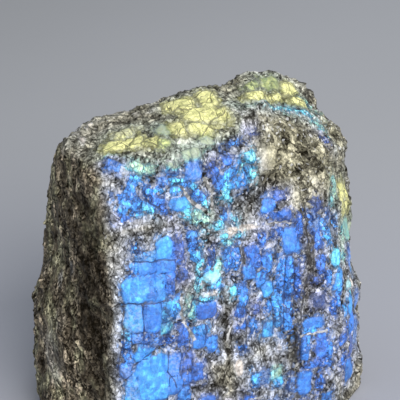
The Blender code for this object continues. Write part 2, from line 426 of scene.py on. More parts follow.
CREST_CRYSTALS = (
    # The left zone.
    Crystal(-27.0, -16.6, 3.0, 2.0, Flash.YELLOW, 1.05, -15),
    Crystal(-22.6, -17.8, 2.6, 2.0, Flash.YELLOW, 0.95, -15),
    Crystal(-18.4, -19.8, 2.0, 1.5, Flash.YELLOW, 0.85, -15),
    Crystal(-15.8, -21.2, 1.6, 1.3, Flash.GREEN, 0.9, -10),
    Crystal(-14.4, -16.4, 1.8, 2.0, Flash.FROST, 0.8),
    Crystal(-23.6, -13.0, 2.8, 1.4, Flash.CREAM, 0.9),
    # The middle zone.
    Crystal(-7.4, -7.6, 3.6, 2.8, Flash.YELLOW, 0.95, -15),
    Crystal(-3.6, -13.4, 4.4, 2.8, Flash.YELLOW, 1.08, -15),
    Crystal(-5.0, -18.2, 3.0, 1.6, Flash.YELLOW, 1.0, -15),
    Crystal(0.2, -7.6, 2.2, 3.6, Flash.YELLOW, 1.0),
    Crystal(1.6, -15.4, 1.6, 2.6, Flash.YELLOW, 0.9),
    Crystal(-10.8, -16.8, 1.8, 2.6, Flash.YELLOW, 0.9),
    # The right zone.
    Crystal(13.8, -8.8, 3.4, 1.5, Flash.YELLOW, 1.0, 20),
    Crystal(13.4, -4.6, 1.8, 1.3, Flash.GREEN, 0.8, 20),
    Crystal(18.8, -2.2, 3.0, 1.8, Flash.GREEN, 0.85, 20),
    Crystal(19.8, -6.2, 2.0, 1.2, Flash.YELLOW, 0.95, 30),
    Crystal(25.0, -1.6, 2.4, 2.0, Flash.YELLOW, 0.85, 20),
    Crystal(26.4, -5.0, 2.4, 1.5, Flash.YELLOW, 0.95),
    Crystal(17.0, -10.4, 2.2, 0.35, Flash.TEAL, 0.7, 15),
    Crystal(21.6, -8.5, 2.2, 0.4, Flash.CYAN, 0.7, 25),
    Crystal(26.0, -8.0, 2.2, 0.4, Flash.CYAN, 0.7, -15),
)

BROW_CRYSTALS = (
    Crystal(-9.4, 85.0, 2.4, 1.3, Flash.FROST, 0.95, -10),
    Crystal(-4.6, 87.0, 1.8, 1.4, Flash.FROST, 0.8, -10),
    Crystal(-14.4, 82.6, 1.3, 1.0, Flash.FROST, 0.8),
    Crystal(-23.4, 82.6, 1.7, 1.0, Flash.SEAFOAM, 1.15, -10),
    Crystal(-20.6, 81.8, 1.2, 0.9, Flash.SEAFOAM, 0.95),
    Crystal(36.0, 63.2, 2.0, 3.0, Flash.YELLOW, 1.0, 8),
    Crystal(37.0, 58.4, 1.4, 2.0, Flash.YELLOW, 0.95, 6),
    Crystal(29.2, 86.0, 0.6, 2.2, Flash.TEAL, 0.75, 12),
    Crystal(30.4, 81.8, 0.6, 1.6, Flash.TEAL, 0.75, 12),
    Crystal(31.2, 79.2, 0.6, 0.8, Flash.VIOLET, 0.7),
)

FRONT_PATCHES = (
    Patch(1.0, 61.8, 4.0, 1.5, Bed.PALE, 1.2),
    Patch(40.2, 42.0, 2.8, 4.4, Bed.PALE, 0.9),
    Patch(40.0, 36.4, 2.4, 2.4, Bed.PALE, 1.1),
    Patch(41.0, 22.4, 2.6, 3.6, Bed.PALE, 0.9),
    Patch(40.0, 11.0, 3.4, 5.0, Bed.PALE, 0.7),
    Patch(-30.0, 53.6, 1.2, 1.8, Bed.SOOT, 0.8),
    Patch(-32.0, 44.4, 1.0, 2.2, Bed.SOOT, 0.7),
    Patch(-31.6, 32.0, 1.0, 2.6, Bed.SOOT, 0.6),
    Patch(-30.6, 64.0, 1.0, 1.4, Bed.SOOT, 0.6),
    Patch(24.0, 62.0, 5.0, 4.0, Bed.SOOT, 0.35),
    Patch(-24.4, 69.0, 4.2, 1.5, Bed.PALE, 0.95),
    Patch(-15.2, 67.6, 2.2, 1.0, Bed.PALE, 0.6),
    Patch(-21.5, 61.8, 1.5, 1.0, Bed.PALE, 0.95),
    Patch(5.6, 62.4, 4.4, 1.3, Bed.PALE, 1.1, -5),
    Patch(11.4, 56.6, 2.4, 1.6, Bed.PALE, 0.95),
    Patch(-26.4, 81.6, 1.3, 1.6, Bed.PALE, 0.95),
    Patch(-22.5, 76.4, 0.7, 1.5, Bed.PALE, 0.85),
    Patch(-15.8, 73.8, 0.8, 0.7, Bed.PALE, 0.8),
    Patch(-12.2, 85.0, 2.4, 1.3, Bed.PALE, 0.95),
    Patch(-8.6, 83.8, 2.0, 1.0, Bed.PALE, 0.7),
    Patch(-31.0, 78.4, 1.6, 2.6, Bed.PALE, 0.7),
    Patch(-29.6, 66.6, 1.8, 3.6, Bed.PALE, 0.7, 10),
    Patch(-30.8, 58.0, 1.9, 5.6, Bed.PALE, 0.75, 5),
    Patch(-28.0, 60.8, 1.8, 3.2, Bed.PALE, 0.6),
    Patch(-31.4, 48.0, 1.2, 5.0, Bed.PALE, 0.5),
    Patch(-31.4, 39.0, 1.2, 6.0, Bed.PALE, 0.7),
    Patch(-30.4, 20.8, 1.5, 2.8, Bed.PALE, 0.8),
    Patch(-5.4, 47.0, 2.2, 1.0, Bed.PALE, 1.1),
    Patch(-3.9, 45.2, 0.8, 1.4, Bed.PALE, 1.0),
    Patch(-1.1, 49.4, 0.7, 1.9, Bed.PALE, 0.95, 25),
    Patch(-18.2, 31.7, 2.6, 0.6, Bed.PALE, 1.0, 5),
    Patch(-14.6, 41.0, 0.9, 0.8, Bed.PALE, 0.9),
    Patch(-13.0, 48.0, 1.0, 2.2, Bed.PALE, 0.6),
    Patch(12.2, 79.4, 2.6, 3.2, Bed.PALE, 1.45),
    Patch(14.6, 86.2, 2.6, 1.1, Bed.PALE, 0.7),
    Patch(6.8, 87.0, 2.2, 1.4, Bed.PALE, 0.85),
    Patch(24.0, 86.0, 1.0, 2.4, Bed.PALE, 0.7, 15),
    Patch(25.7, 67.0, 1.5, 1.4, Bed.PALE, 1.0),
    Patch(19.0, 69.2, 1.5, 2.4, Bed.PALE, 0.7),
    Patch(17.4, 65.8, 0.8, 1.2, Bed.PALE, 0.9, -15),
    Patch(28.2, 61.8, 1.3, 1.0, Bed.PALE, 0.7),
    Patch(30.8, 56.8, 0.7, 0.9, Bed.PALE, 1.0),
    Patch(2.9, 22.4, 1.5, 3.2, Bed.PALE, 1.2, 5),
    Patch(14.6, 26.2, 1.3, 2.2, Bed.PALE, 1.0),
    Patch(11.6, 25.4, 1.4, 1.6, Bed.PALE, 0.8),
    Patch(-2.0, 27.0, 1.0, 2.0, Bed.PALE, 0.8),
    Patch(-1.0, 17.0, 1.0, 1.2, Bed.PALE, 0.8),
    Patch(29.4, 27.0, 1.1, 1.8, Bed.PALE, 0.9),
    Patch(29.2, 16.2, 1.9, 1.6, Bed.PALE, 1.0),
    Patch(25.6, 41.0, 0.8, 0.7, Bed.PALE, 0.8),
    Patch(37.0, 43.0, 1.0, 2.6, Bed.PALE, 0.9),
    Patch(37.6, 34.6, 1.6, 2.0, Bed.PALE, 0.8),
    Patch(12.6, 48.8, 0.6, 1.6, Bed.PALE, 0.7),
    Patch(39.0, 9.0, 2.2, 2.6, Bed.PALE, 0.9),
    Patch(4.4, 69.6, 6.4, 2.8, Bed.SOOT, 0.95, 5),
    Patch(12.6, 72.8, 4.4, 2.0, Bed.SOOT, 0.9, 12),
    Patch(0.6, 84.2, 5.6, 1.0, Bed.SOOT, 0.7, 5),
    Patch(-5.8, 78.0, 0.9, 2.6, Bed.SOOT, 0.9, 5),
    Patch(-5.2, 61.0, 2.0, 1.8, Bed.SOOT, 0.75),
    Patch(-21.6, 65.8, 3.8, 0.7, Bed.SOOT, 0.8),
    Patch(-20.6, 79.2, 1.4, 0.9, Bed.SOOT, 0.6),
    Patch(-29.4, 80.0, 0.9, 0.9, Bed.SOOT, 0.9),
    Patch(-1.8, 45.4, 1.0, 1.7, Bed.SOOT, 0.85),
    Patch(-1.2, 37.0, 1.6, 1.6, Bed.SOOT, 0.7),
    Patch(-6.3, 48.6, 0.5, 0.4, Bed.SOOT, 1.2),
    Patch(22.6, 64.6, 0.9, 2.0, Bed.SOOT, 0.7, 10),
    Patch(23.4, 55.4, 0.7, 5.0, Bed.SOOT, 0.2),
    Patch(22.8, 47.0, 0.8, 4.0, Bed.SOOT, 0.2),
    Patch(18.6, 24.0, 1.0, 12.0, Bed.SOOT, 0.5, 5),
    Patch(24.8, 43.2, 1.9, 0.8, Bed.SOOT, 1.0, -10),
    Patch(-0.8, 31.0, 1.4, 3.6, Bed.SOOT, 0.6),
    Patch(-13.2, 39.2, 0.9, 0.5, Bed.SOOT, 1.1, -20),
    Patch(12.2, 40.3, 0.8, 0.6, Bed.SOOT, 1.1),
    Patch(16.7, 40.2, 0.5, 0.4, Bed.SOOT, 1.2),
    Patch(22.6, 77.0, 2.2, 2.2, Bed.SOOT, 0.6),
    Patch(-2.6, 20.0, 2.6, 4.0, Bed.SOOT, 0.4),
    Patch(17.6, 80.0, 10.0, 9.6, Bed.FLAKE, 1.0),
    Patch(30.0, 75.0, 6.0, 9.0, Bed.FLAKE, 1.0),
    Patch(23.0, 67.4, 6.0, 5.4, Bed.FLAKE, 1.0),
    Patch(36.0, 78.0, 5.0, 8.0, Bed.FLAKE, 1.0),
    Patch(23.2, 54.0, 1.0, 8.0, Bed.BARK, 0.5),
    Patch(21.4, 41.0, 1.0, 5.0, Bed.BARK, 0.45),
    Patch(18.6, 23.0, 1.5, 13.0, Bed.BARK, 0.6, 5),
)

CREST_PATCHES = (
    Patch(-27.0, -6.0, 11.0, 6.0, Bed.PALE, 0.6),
    Patch(-30.0, -4.6, 1.4, 1.0, Bed.PALE, 1.2),
    Patch(-20.4, -2.6, 1.6, 0.8, Bed.PALE, 1.2),
    Patch(-33.4, -9.0, 1.2, 1.6, Bed.PALE, 1.1),
    Patch(-25.6, -9.4, 1.8, 0.8, Bed.SOOT, 0.9, -15),
    Patch(-16.4, -3.8, 1.6, 0.7, Bed.SOOT, 1.0, -15),
    Patch(8.0, 2.0, 5.0, 3.0, Bed.PALE, 0.6),
    Patch(26.0, 3.0, 4.0, 2.4, Bed.PALE, 0.6),
    Patch(-21.6, -12.0, 2.2, 1.4, Bed.PALE, 0.95),
    Patch(-34.0, -6.0, 2.0, 1.6, Bed.PALE, 0.9),
    Patch(-28.0, -5.0, 2.6, 1.2, Bed.PALE, 0.9),
    Patch(-18.4, -6.0, 1.4, 1.4, Bed.PALE, 1.0),
    Patch(-12.4, -1.6, 3.0, 1.0, Bed.PALE, 0.9),
    Patch(-24.0, -1.0, 3.0, 0.9, Bed.PALE, 1.1),
    Patch(-32.0, -2.0, 1.8, 1.2, Bed.PALE, 1.1),
    Patch(-14.6, -7.6, 1.6, 1.0, Bed.PALE, 0.9),
    Patch(-10.0, -22.0, 2.0, 1.6, Bed.PALE, 0.85),
    Patch(5.4, -14.8, 2.2, 1.8, Bed.PALE, 0.95),
    Patch(14.4, 1.4, 3.6, 1.2, Bed.PALE, 1.0),
    Patch(21.0, 3.0, 4.0, 1.2, Bed.PALE, 0.9),
    Patch(12.8, -11.2, 2.8, 0.5, Bed.PALE, 0.9),
    Patch(-31.0, -12.0, 1.8, 4.0, Bed.SOOT, 0.5),
    Patch(-23.0, -7.6, 3.0, 0.8, Bed.SOOT, 0.7),
    Patch(8.6, -9.6, 1.0, 3.0, Bed.SOOT, 0.6),
    Patch(22.4, -4.0, 0.8, 2.2, Bed.SOOT, 0.6),
    Patch(31.6, 0.0, 1.6, 6.0, Bed.SOOT, 0.7),
    Patch(-24.0, -4.0, 13.0, 4.4, Bed.FLAKE, 0.5),
    Patch(8.0, -2.0, 6.0, 4.0, Bed.FLAKE, 0.7),
)

BACK_PATCHES = (
    Patch(-14.0, 66.0, 14.0, 12.0, Bed.FLAKE, 1.0, 10),
    Patch(16.0, 30.0, 12.0, 16.0, Bed.FLAKE, 0.9, -10),
    Patch(22.0, 70.0, 8.0, 10.0, Bed.BARK, 0.8),
    Patch(-26.0, 24.0, 8.0, 16.0, Bed.BARK, 0.8, 12),
    Patch(-2.0, 48.0, 11.0, 3.0, Bed.SOOT, 0.8, 8),
    Patch(-30.0, 50.0, 5.0, 12.0, Bed.SOOT, 0.6),
    Patch(8.0, 82.0, 12.0, 4.0, Bed.PALE, 0.8, -6),
    Patch(4.0, 14.0, 12.0, 3.0, Bed.PALE, 0.7),
    Patch(-16.0, 40.0, 4.0, 9.0, Bed.PALE, 0.8, 15),
    Patch(28.0, 48.0, 3.4, 9.0, Bed.PALE, 0.8),
)

RIGHT_PATCHES = (
    Patch(12.0, 62.0, 7.0, 12.0, Bed.FLAKE, 1.0, 8),
    Patch(18.0, 28.0, 5.0, 14.0, Bed.BARK, 0.8),
    Patch(4.0, 18.0, 6.0, 9.0, Bed.FLAKE, 0.8),
    Patch(8.0, 44.0, 6.0, 2.4, Bed.SOOT, 0.8, -10),
    Patch(20.0, 52.0, 3.0, 6.0, Bed.PALE, 0.8),
    Patch(4.0, 7.0, 8.0, 3.0, Bed.PALE, 0.6),
)

LEFT_PATCHES = (
    Patch(-22.0, 50.0, 5.0, 22.0, Bed.SOOT, 0.7),
    Patch(-16.0, 56.0, 7.0, 22.0, Bed.SOOT, 0.35),
    Patch(-24.0, 20.0, 4.0, 18.0, Bed.SOOT, 0.65),
    Patch(-23.0, 73.0, 2.4, 3.4, Bed.PALE, 0.45),
    Patch(3.0, 60.0, 3.4, 7.0, Bed.FLAKE, 1.0),
    Patch(3.4, 52.0, 2.6, 4.0, Bed.FLAKE, 1.0),
    Patch(-22.5, 72.0, 2.0, 3.4, Bed.FLAKE, 1.0),
    Patch(-12.0, 44.0, 1.6, 4.0, Bed.FLAKE, 0.9),
    Patch(-11.0, 36.0, 4.0, 4.0, Bed.PALE, 0.5),
    Patch(-8.0, 24.0, 7.0, 10.0, Bed.PALE, 0.6),
    Patch(-17.0, 27.0, 3.0, 6.0, Bed.PALE, 0.35),
    Patch(-14.0, 8.0, 7.0, 5.0, Bed.PALE, 0.35),
    Patch(-13.0, 52.0, 1.2, 3.0, Bed.PALE, 0.8, -10),
    Patch(-7.0, 46.0, 2.0, 3.0, Bed.PALE, 0.7),
)

VEINS = (
    # The cracks of the left column.
    Vein(((-24.6, 58.6), (-19.6, 57.9), (-14.8, 57.1)), 0.20),
    Vein(((-29.6, 48.5), (-24.0, 47.6), (-17.5, 46.9)), 0.25),
    Vein(((-27.4, 29.2), (-24.6, 31.4), (-22.0, 32.8)), 0.20),
    Vein(((-24.1, 47.5), (-24.0, 43.0), (-24.2, 38.0)), 0.14),
    Vein(((-29.0, 47.0), (-29.4, 36.0), (-30.6, 30.0)), 0.22),
    Vein(((-17.2, 31.0), (-17.4, 26.0), (-15.5, 22.0)), 0.20),
    Vein(((-13.7, 31.0), (-13.8, 24.0)), 0.20),
    Vein(((-7.9, 54.5), (-9.0, 49.0), (-10.2, 45.5), (-12.6, 40.0)), 0.20),
    Vein(((-6.7, 37.0), (-6.9, 32.6)), 0.16),
    Vein(((-21.0, 74.0), (-18.4, 71.6)), 0.28),
    # The fissure and the lines beside it.
    Vein(
        ((22.6, 67.0), (22.7, 57.0), (22.1, 47.0), (20.4, 37.0), (18.6, 25.0), (16.8, 14.0), (15.5, 4.0)),
        0.24,
    ),
    Vein(((24.2, 58.0), (24.0, 52.0), (23.4, 45.0)), 0.20),
    Vein(((20.2, 32.0), (19.6, 22.0)), 0.20),
    Vein(((16.1, 53.0), (16.0, 44.0), (15.6, 32.0)), 0.16),
    Vein(((12.9, 46.0), (12.8, 31.0)), 0.16),
    Vein(((4.6, 56.5), (3.4, 48.0)), 0.30),
    Vein(((5.2, 43.0), (5.0, 30.0)), 0.22),
    Vein(((33.4, 43.8), (31.8, 39.6)), 0.30),
    # Pale threads.
    Vein(((-11.8, 76.0), (-9.6, 72.4), (-6.8, 69.6)), 0.34, Bed.PALE),
    Vein(((-5.8, 77.4), (-4.4, 74.0), (-4.2, 70.0)), 0.40, Bed.PALE),
    Vein(((-13.4, 47.4), (-13.5, 42.5), (-12.1, 38.0), (-10.2, 34.5)), 0.40, Bed.PALE),
    Vein(((20.6, 29.0), (26.8, 29.6)), 0.26, Bed.PALE),
    Vein(((1.3, 37.0), (0.2, 31.0)), 0.30, Bed.PALE),
    Vein(((11.5, 62.6), (17.5, 61.6)), 0.22, Bed.PALE),
    Vein(((6.0, 12.6), (9.0, 12.2)), 0.25, Bed.PALE),
)

SWELLS = (
    # The corner at the crest's left end, and the rim behind it.
    Swell((-34.5, -3.0, 85.0), 5.5, 1.7),
    Swell((-28.0, -1.0, 87.0), 5.0, 0.8),
    Swell((-38.8, -5.0, 84.0), 2.6, -2.4),
    Swell((-19.0, -1.5, 90.5), 6.0, -1.0),
    Swell((-10.0, -1.2, 92.0), 6.0, -1.2),
    # The right shoulder and the right side below it.
    Swell((33.0, 3.5, 85.5), 4.0, 1.6),
    Swell((43.2, -4.5, 58.5), 9.0, -1.3),
    Swell((42.3, -7.0, 44.0), 5.0, -0.8),
    Swell((44.0, -9.0, 37.0), 4.0, -1.0),
    Swell((45.0, -12.0, 18.0), 8.0, -0.8),
    # The left side's far edge.
    Swell((-45.0, 6.0, 15.0), 6.0, 1.0),
    Swell((-39.3, 1.8, 67.5), 8.0, 1.0),
    Swell((-42.0, 8.0, 46.0), 6.0, -0.9),
)

BACK_HUES = (Flash.ROYAL, Flash.AZURE, Flash.TEAL, Flash.GREEN, Flash.SEAFOAM)
RIGHT_HUES = (Flash.ROYAL, Flash.VIOLET, Flash.AZURE)

CLUSTERS = (
    Clusters(Face.BACK, 7, -32.0, 32.0, 70.0, BACK_HUES),
    Clusters(Face.RIGHT, 3, 6.0, 20.0, 60.0, RIGHT_HUES),
)

CRYSTALS = (
    (Face.FRONT, FRONT_CRYSTALS),
    (Face.FRONT, BROW_CRYSTALS),
    (Face.CREST, CREST_CRYSTALS),
)

PATCHES = (
    (Face.FRONT, FRONT_PATCHES),
    (Face.CREST, CREST_PATCHES),
    (Face.LEFT, LEFT_PATCHES),
    (Face.BACK, BACK_PATCHES),
    (Face.RIGHT, RIGHT_PATCHES),
)


class Sheet:
    """A node tree that is built by calls, for a material or for a geometry modifier."""

    def __init__(self, tree: bpy.types.NodeTree) -> None:
        """Takes an empty tree."""
        self.tree = tree

    def node(self, kind: str, **settings: object) -> Node:
        """Adds a node.

        Args:
            kind: the node's type, as Blender names it.
            settings: its properties and their values.

        Returns:
            The node.
        """
        made = self.tree.nodes.new(kind)
        for name, value in settings.items():
            setattr(made, name, value)
        return made

    def feed(self, socket: Socket, value: object) -> None:
        """Links an output to a socket, or sets the socket's own value.

        Args:
            socket: the input.
            value: an output, a number, a vector, or a colour without its alpha.
        """
        if isinstance(value, Socket):
            self.tree.links.new(value, socket)
        elif socket.type == "RGBA":
            socket.default_value = (*value, 1.0)
        else:
            socket.default_value = value

    def fed(self, kind: str, inputs: tuple, **settings: object) -> Node:
        """Adds a node and feeds its first inputs.

        Args:
            kind: the node's type, as Blender names it.
            inputs: what goes into its inputs, in their order.
            settings: its properties and their values.

        Returns:
            The node.
        """
        made = self.node(kind, **settings)
        for socket, value in zip(made.inputs, inputs):
            self.feed(socket, value)
        return made

    def math(self, operation: str, *values: object, clamp: bool = False) -> Socket:
        """The result of a Math node."""
        return self.fed("ShaderNodeMath", values, operation=operation, use_clamp=clamp).outputs[0]

    def chain(self, operation: str, values: tuple) -> Socket:
        """The result of one operation that is done to the values in turn.

        Args:
            operation: what the Math nodes do, as Blender names it.
            values: two or more outputs or numbers.

        Returns:
            The result.
        """
        result = values[0]
        for value in values[1:]:
            result = self.math(operation, result, value)
        return result

    def total(self, *values: object) -> Socket:
        """The sum of values."""
        return self.chain("ADD", values)

    def product(self, *values: object) -> Socket:
        """The product of values."""
        return self.chain("MULTIPLY", values)

    def most(self, *values: object) -> Socket:
        """The largest of values."""
        return self.chain("MAXIMUM", values)

    def scaled(self, value: object, gain: float, offset: float = 0.0) -> Socket:
        """A value times a gain, plus an offset."""
        return self.math("MULTIPLY_ADD", value, gain, offset)

    def swing(self, value: object, gain: float) -> Socket:
        """A value from 0 to 1, spread over a range of the gain's width with its middle at 0."""
        return self.scaled(value, gain, -gain / 2.0)

    def less(self, value: object, share: float = 1.0) -> Socket:
        """1 less a share of a value."""
        return self.scaled(value, -share, 1.0)

    def vector(self, operation: str, *values: object) -> Socket:
        """The vector that a Vector Math node gives."""
        return self.fed("ShaderNodeVectorMath", values, operation=operation).outputs["Vector"]

    def dot(self, first: object, second: object) -> Socket:
        """The dot product of two vectors."""
        return self.fed("ShaderNodeVectorMath", (first, second), operation="DOT_PRODUCT").outputs["Value"]

    def lengthened(self, vector: object, gain: object) -> Socket:
        """A vector or a colour times a number."""
        made = self.fed("ShaderNodeVectorMath", (vector,), operation="SCALE")
        self.feed(made.inputs["Scale"], gain)
        return made.outputs["Vector"]

    def step(self, value: object, low: float, high: float) -> Socket:
        """A smooth step. It falls where low is above high.

        Args:
            value: the number that it is read at.
            low: where it is 0.
            high: where it is 1.

        Returns:
            The step's height.
        """
        falls = low > high
        ends = (min(low, high), max(low, high), float(falls), float(not falls))
        made = self.fed("ShaderNodeMapRange", (value, *ends), interpolation_type="SMOOTHSTEP")
        return made.outputs["Result"]

    def band(self, value: object, low: float, peak: float, high: float) -> Socket:
        """A smooth rise from 0 at low to the peak, and the fall to 0 at high."""
        return self.product(self.step(value, low, peak), self.step(value, high, peak))

    def mix(self, share: object, first: object, second: object, blend: str = "MIX") -> Socket:
        """Mixes two colours.

        Args:
            share: how much of the second one there is, from 0 to 1.
            first: a colour.
            second: another one.
            blend: the way to mix, as Blender names it.

        Returns:
            The colour.
        """
        made = self.node("ShaderNodeMix", data_type="RGBA", blend_type=blend, clamp_factor=True)
        for socket, value in zip((made.inputs[0], *made.inputs[MIXED_COLOURS]), (share, first, second)):
            self.feed(socket, value)
        return made.outputs[COLOUR_RESULT]

    def blend(self, share: object, first: object, second: object) -> Socket:
        """Mixes two numbers by a share.

        Args:
            share: the second one's part in the mix, from 0 to 1.
            first: the first number.
            second: the second number.

        Returns:
            The mix.
        """
        made = self.node("ShaderNodeMix", data_type="FLOAT", clamp_factor=True)
        for socket, value in zip((made.inputs[0], *made.inputs[MIXED_NUMBERS]), (share, first, second)):
            self.feed(socket, value)
        return made.outputs[0]

    def stretched(self, place: object, size: Size) -> Socket:
        """A place measured in cells of a given size, in millimetres."""
        return self.vector("MULTIPLY", place, tuple(1.0 / side for side in size))

    def turned(self, place: object, axis: str, degrees: float) -> Socket:
        """A place turned about an axis through the middle of the frame."""
        made = self.fed("ShaderNodeVectorRotate", (place,), rotation_type=axis)
        made.inputs["Angle"].default_value = math.radians(degrees)
        return made.outputs["Vector"]

    def noise(self, place: object, size: float | Size, detail: float = 2.0, rough: float = 0.5) -> Node:
        """A noise of a given grain.

        Args:
            place: where to read it.
            size: the width of its grain in millimetres, or its three sides.
            detail: how many finer layers it has.
            rough: how strong each finer layer is.

        Returns:
            The node.
        """
        if isinstance(size, tuple):
            place, size = self.stretched(place, size), 1.0
        made = self.fed("ShaderNodeTexNoise", (place,))
        made.inputs["Scale"].default_value = 1.0 / size
        made.inputs["Detail"].default_value = detail
        made.inputs["Roughness"].default_value = rough
        return made

    def level(self, place: object, size: float | Size, detail: float = 2.0, rough: float = 0.5) -> Socket:
        """The number of a noise, from 0 to 1, by the same arguments."""
        return self.noise(place, size, detail, rough).outputs[0]

    def shifted(self, place: object, size: float, reach: float) -> Socket:
        """A place, shifted by a noise.

        Args:
            place: the place.
            size: the noise's grain, in millimetres.
            reach: about the furthest shift either way, in millimetres.

        Returns:
            The new place.
        """
        drift = self.vector("SUBTRACT", self.noise(place, size).outputs["Color"], (0.5, 0.5, 0.5))
        return self.vector("ADD", place, self.vector("MULTIPLY", drift, (reach * 2.0,) * 3))

    def cells(self, place: object, feature: str = "F1") -> Node:
        """Adds a pattern of cells one unit wide.

        Args:
            place: where the pattern is read.
            feature: what it tells of a cell, as Blender names it.

        Returns:
            The node.
        """
        made = self.node("ShaderNodeTexVoronoi", feature=feature)
        self.feed(made.inputs["Vector"], place)
        made.inputs["Scale"].default_value = 1.0
        return made

    def chances(self, place: object, size: Size) -> tuple[Socket, ...]:
        """Three random numbers for each cell of a given size, in millimetres."""
        return self.parts(self.cells(self.stretched(place, size)).outputs["Color"])

    def parts(self, vector: object) -> tuple[Socket, ...]:
        """The three numbers of a vector or a colour."""
        return tuple(self.fed("ShaderNodeSeparateXYZ", (vector,)).outputs)

    def ramp(self, value: object, stops: Stops) -> Socket:
        """A colour scale.

        Args:
            value: where to read it, from 0 to 1.
            stops: pairs of place and colour.

        Returns:
            The colour.
        """
        made = self.fed("ShaderNodeValToRGB", (value,))
        scale = made.color_ramp
        scale.interpolation = "LINEAR"
        while len(scale.elements) < len(stops):
            scale.elements.new(1.0)
        for element, (place, colour) in zip(scale.elements, stops):
            element.position = place
            element.color = (*colour, 1.0)
        return made.outputs["Color"]

    def stored(self, name: str, kind: str = "FLOAT") -> Socket:
        """An attribute of the mesh, read inside a geometry modifier."""
        made = self.node("GeometryNodeInputNamedAttribute", data_type=kind)
        made.inputs["Name"].default_value = name
        return made.outputs["Attribute"]

    def attribute(self, name: str, output: str = "Fac") -> Socket:
        """An attribute of the mesh, read inside a material."""
        return self.node("ShaderNodeAttribute", attribute_name=name).outputs[output]


@dataclass(frozen=True)
class Cleavage:
    """The blocks that the feldspar breaks into, the same in the mesh and in its finish."""

    slab: Size = (13.0, 13.0, 20.0)
    block: Size = (4.2, 4.2, 6.8)
    chip: Size = (1.7, 1.7, 2.6)
    scale: Size = (1.5, 1.5, 3.2)
    lean: float = 28.0
    waver: float = 1.1
    waver_size: float = 4.5
    shake: float = 0.7
    shake_size: float = 1.3

    def wavering(self, sheet: Sheet, place: object) -> Socket:
        """The place, shifted a little so that no border runs straight."""
        return sheet.shifted(place, self.waver_size, self.waver)

    def shaken(self, sheet: Sheet, place: object) -> Socket:
        """The place, shifted at a fine grain so that small grains come out angular."""
        return sheet.shifted(place, self.shake_size, self.shake)

    def leaned(self, sheet: Sheet, place: object) -> Socket:
        """The place, turned so that upright cells lean to the left."""
        return sheet.turned(place, "Y_AXIS", self.lean)

    def facet(self, sheet: Sheet, place: object, size: Size) -> tuple[Socket, tuple[Socket, ...]]:
        """Plane facets, one to a cell, each with a tilt of its own.

        Args:
            sheet: the tree that they are built in.
            place: the place, in millimetres.
            size: the cells' size, in millimetres.

        Returns:
            The height of the tilted facet, and the cell's three random numbers.
        """
        scaled = sheet.stretched(place, size)
        cells = sheet.cells(scaled)
        arm = sheet.vector("SUBTRACT", scaled, cells.outputs["Position"])
        tilt = sheet.vector("SUBTRACT", cells.outputs["Color"], (0.5, 0.5, 0.5))
        return sheet.dot(arm, tilt), sheet.parts(cells.outputs["Color"])

    def border(self, sheet: Sheet, place: object, size: Size) -> Socket:
        """The distance to the nearest border between cells, in cells."""
        return sheet.cells(sheet.stretched(place, size), "DISTANCE_TO_EDGE").outputs["Distance"]


@dataclass
class Site:
    """A crystal or a patch, laid on the surface: its middle and its own three axes."""

    middle: np.ndarray
    axes: np.ndarray
    halves: np.ndarray

    def reach(self, points: np.ndarray, power: float) -> np.ndarray:
        """How far out the points lie, where 1 is the site's rim.

        Args:
            points: the places, in millimetres, one to a row.
            power: 2 for a round site, more for a squarer one.

        Returns:
            One number for each point.
        """
        local = np.abs((points - self.middle) @ self.axes.T) / self.halves
        return (local**power).sum(axis=1) ** (1.0 / power)


@dataclass(frozen=True)
class BarkSide:
    """Where the fibrous left side ends: at the left edge of the front face, and below the crest."""

    edge: float = -33.0
    edge_lean: float = 0.02
    front: float = -30.0
    front_lean: float = 0.10
    edge_blur: float = 2.4
    top: float = 84.5
    top_blur: float = 3.0

    def share(self, points: np.ndarray) -> np.ndarray:
        """How fibrous the rock is at each point.

        Args:
            points: the places, one a row.

        Returns:
            The share of fibrous rock, from 0 to 1.
        """
        across, deep, up = points.T
        left = self.edge + self.edge_lean * up - across + self.front_lean * (self.front - deep)
        side = np.clip(left / self.edge_blur + 0.5, 0.0, 1.0)
        return side * np.clip((self.top - up) / self.top_blur, 0.0, 1.0)


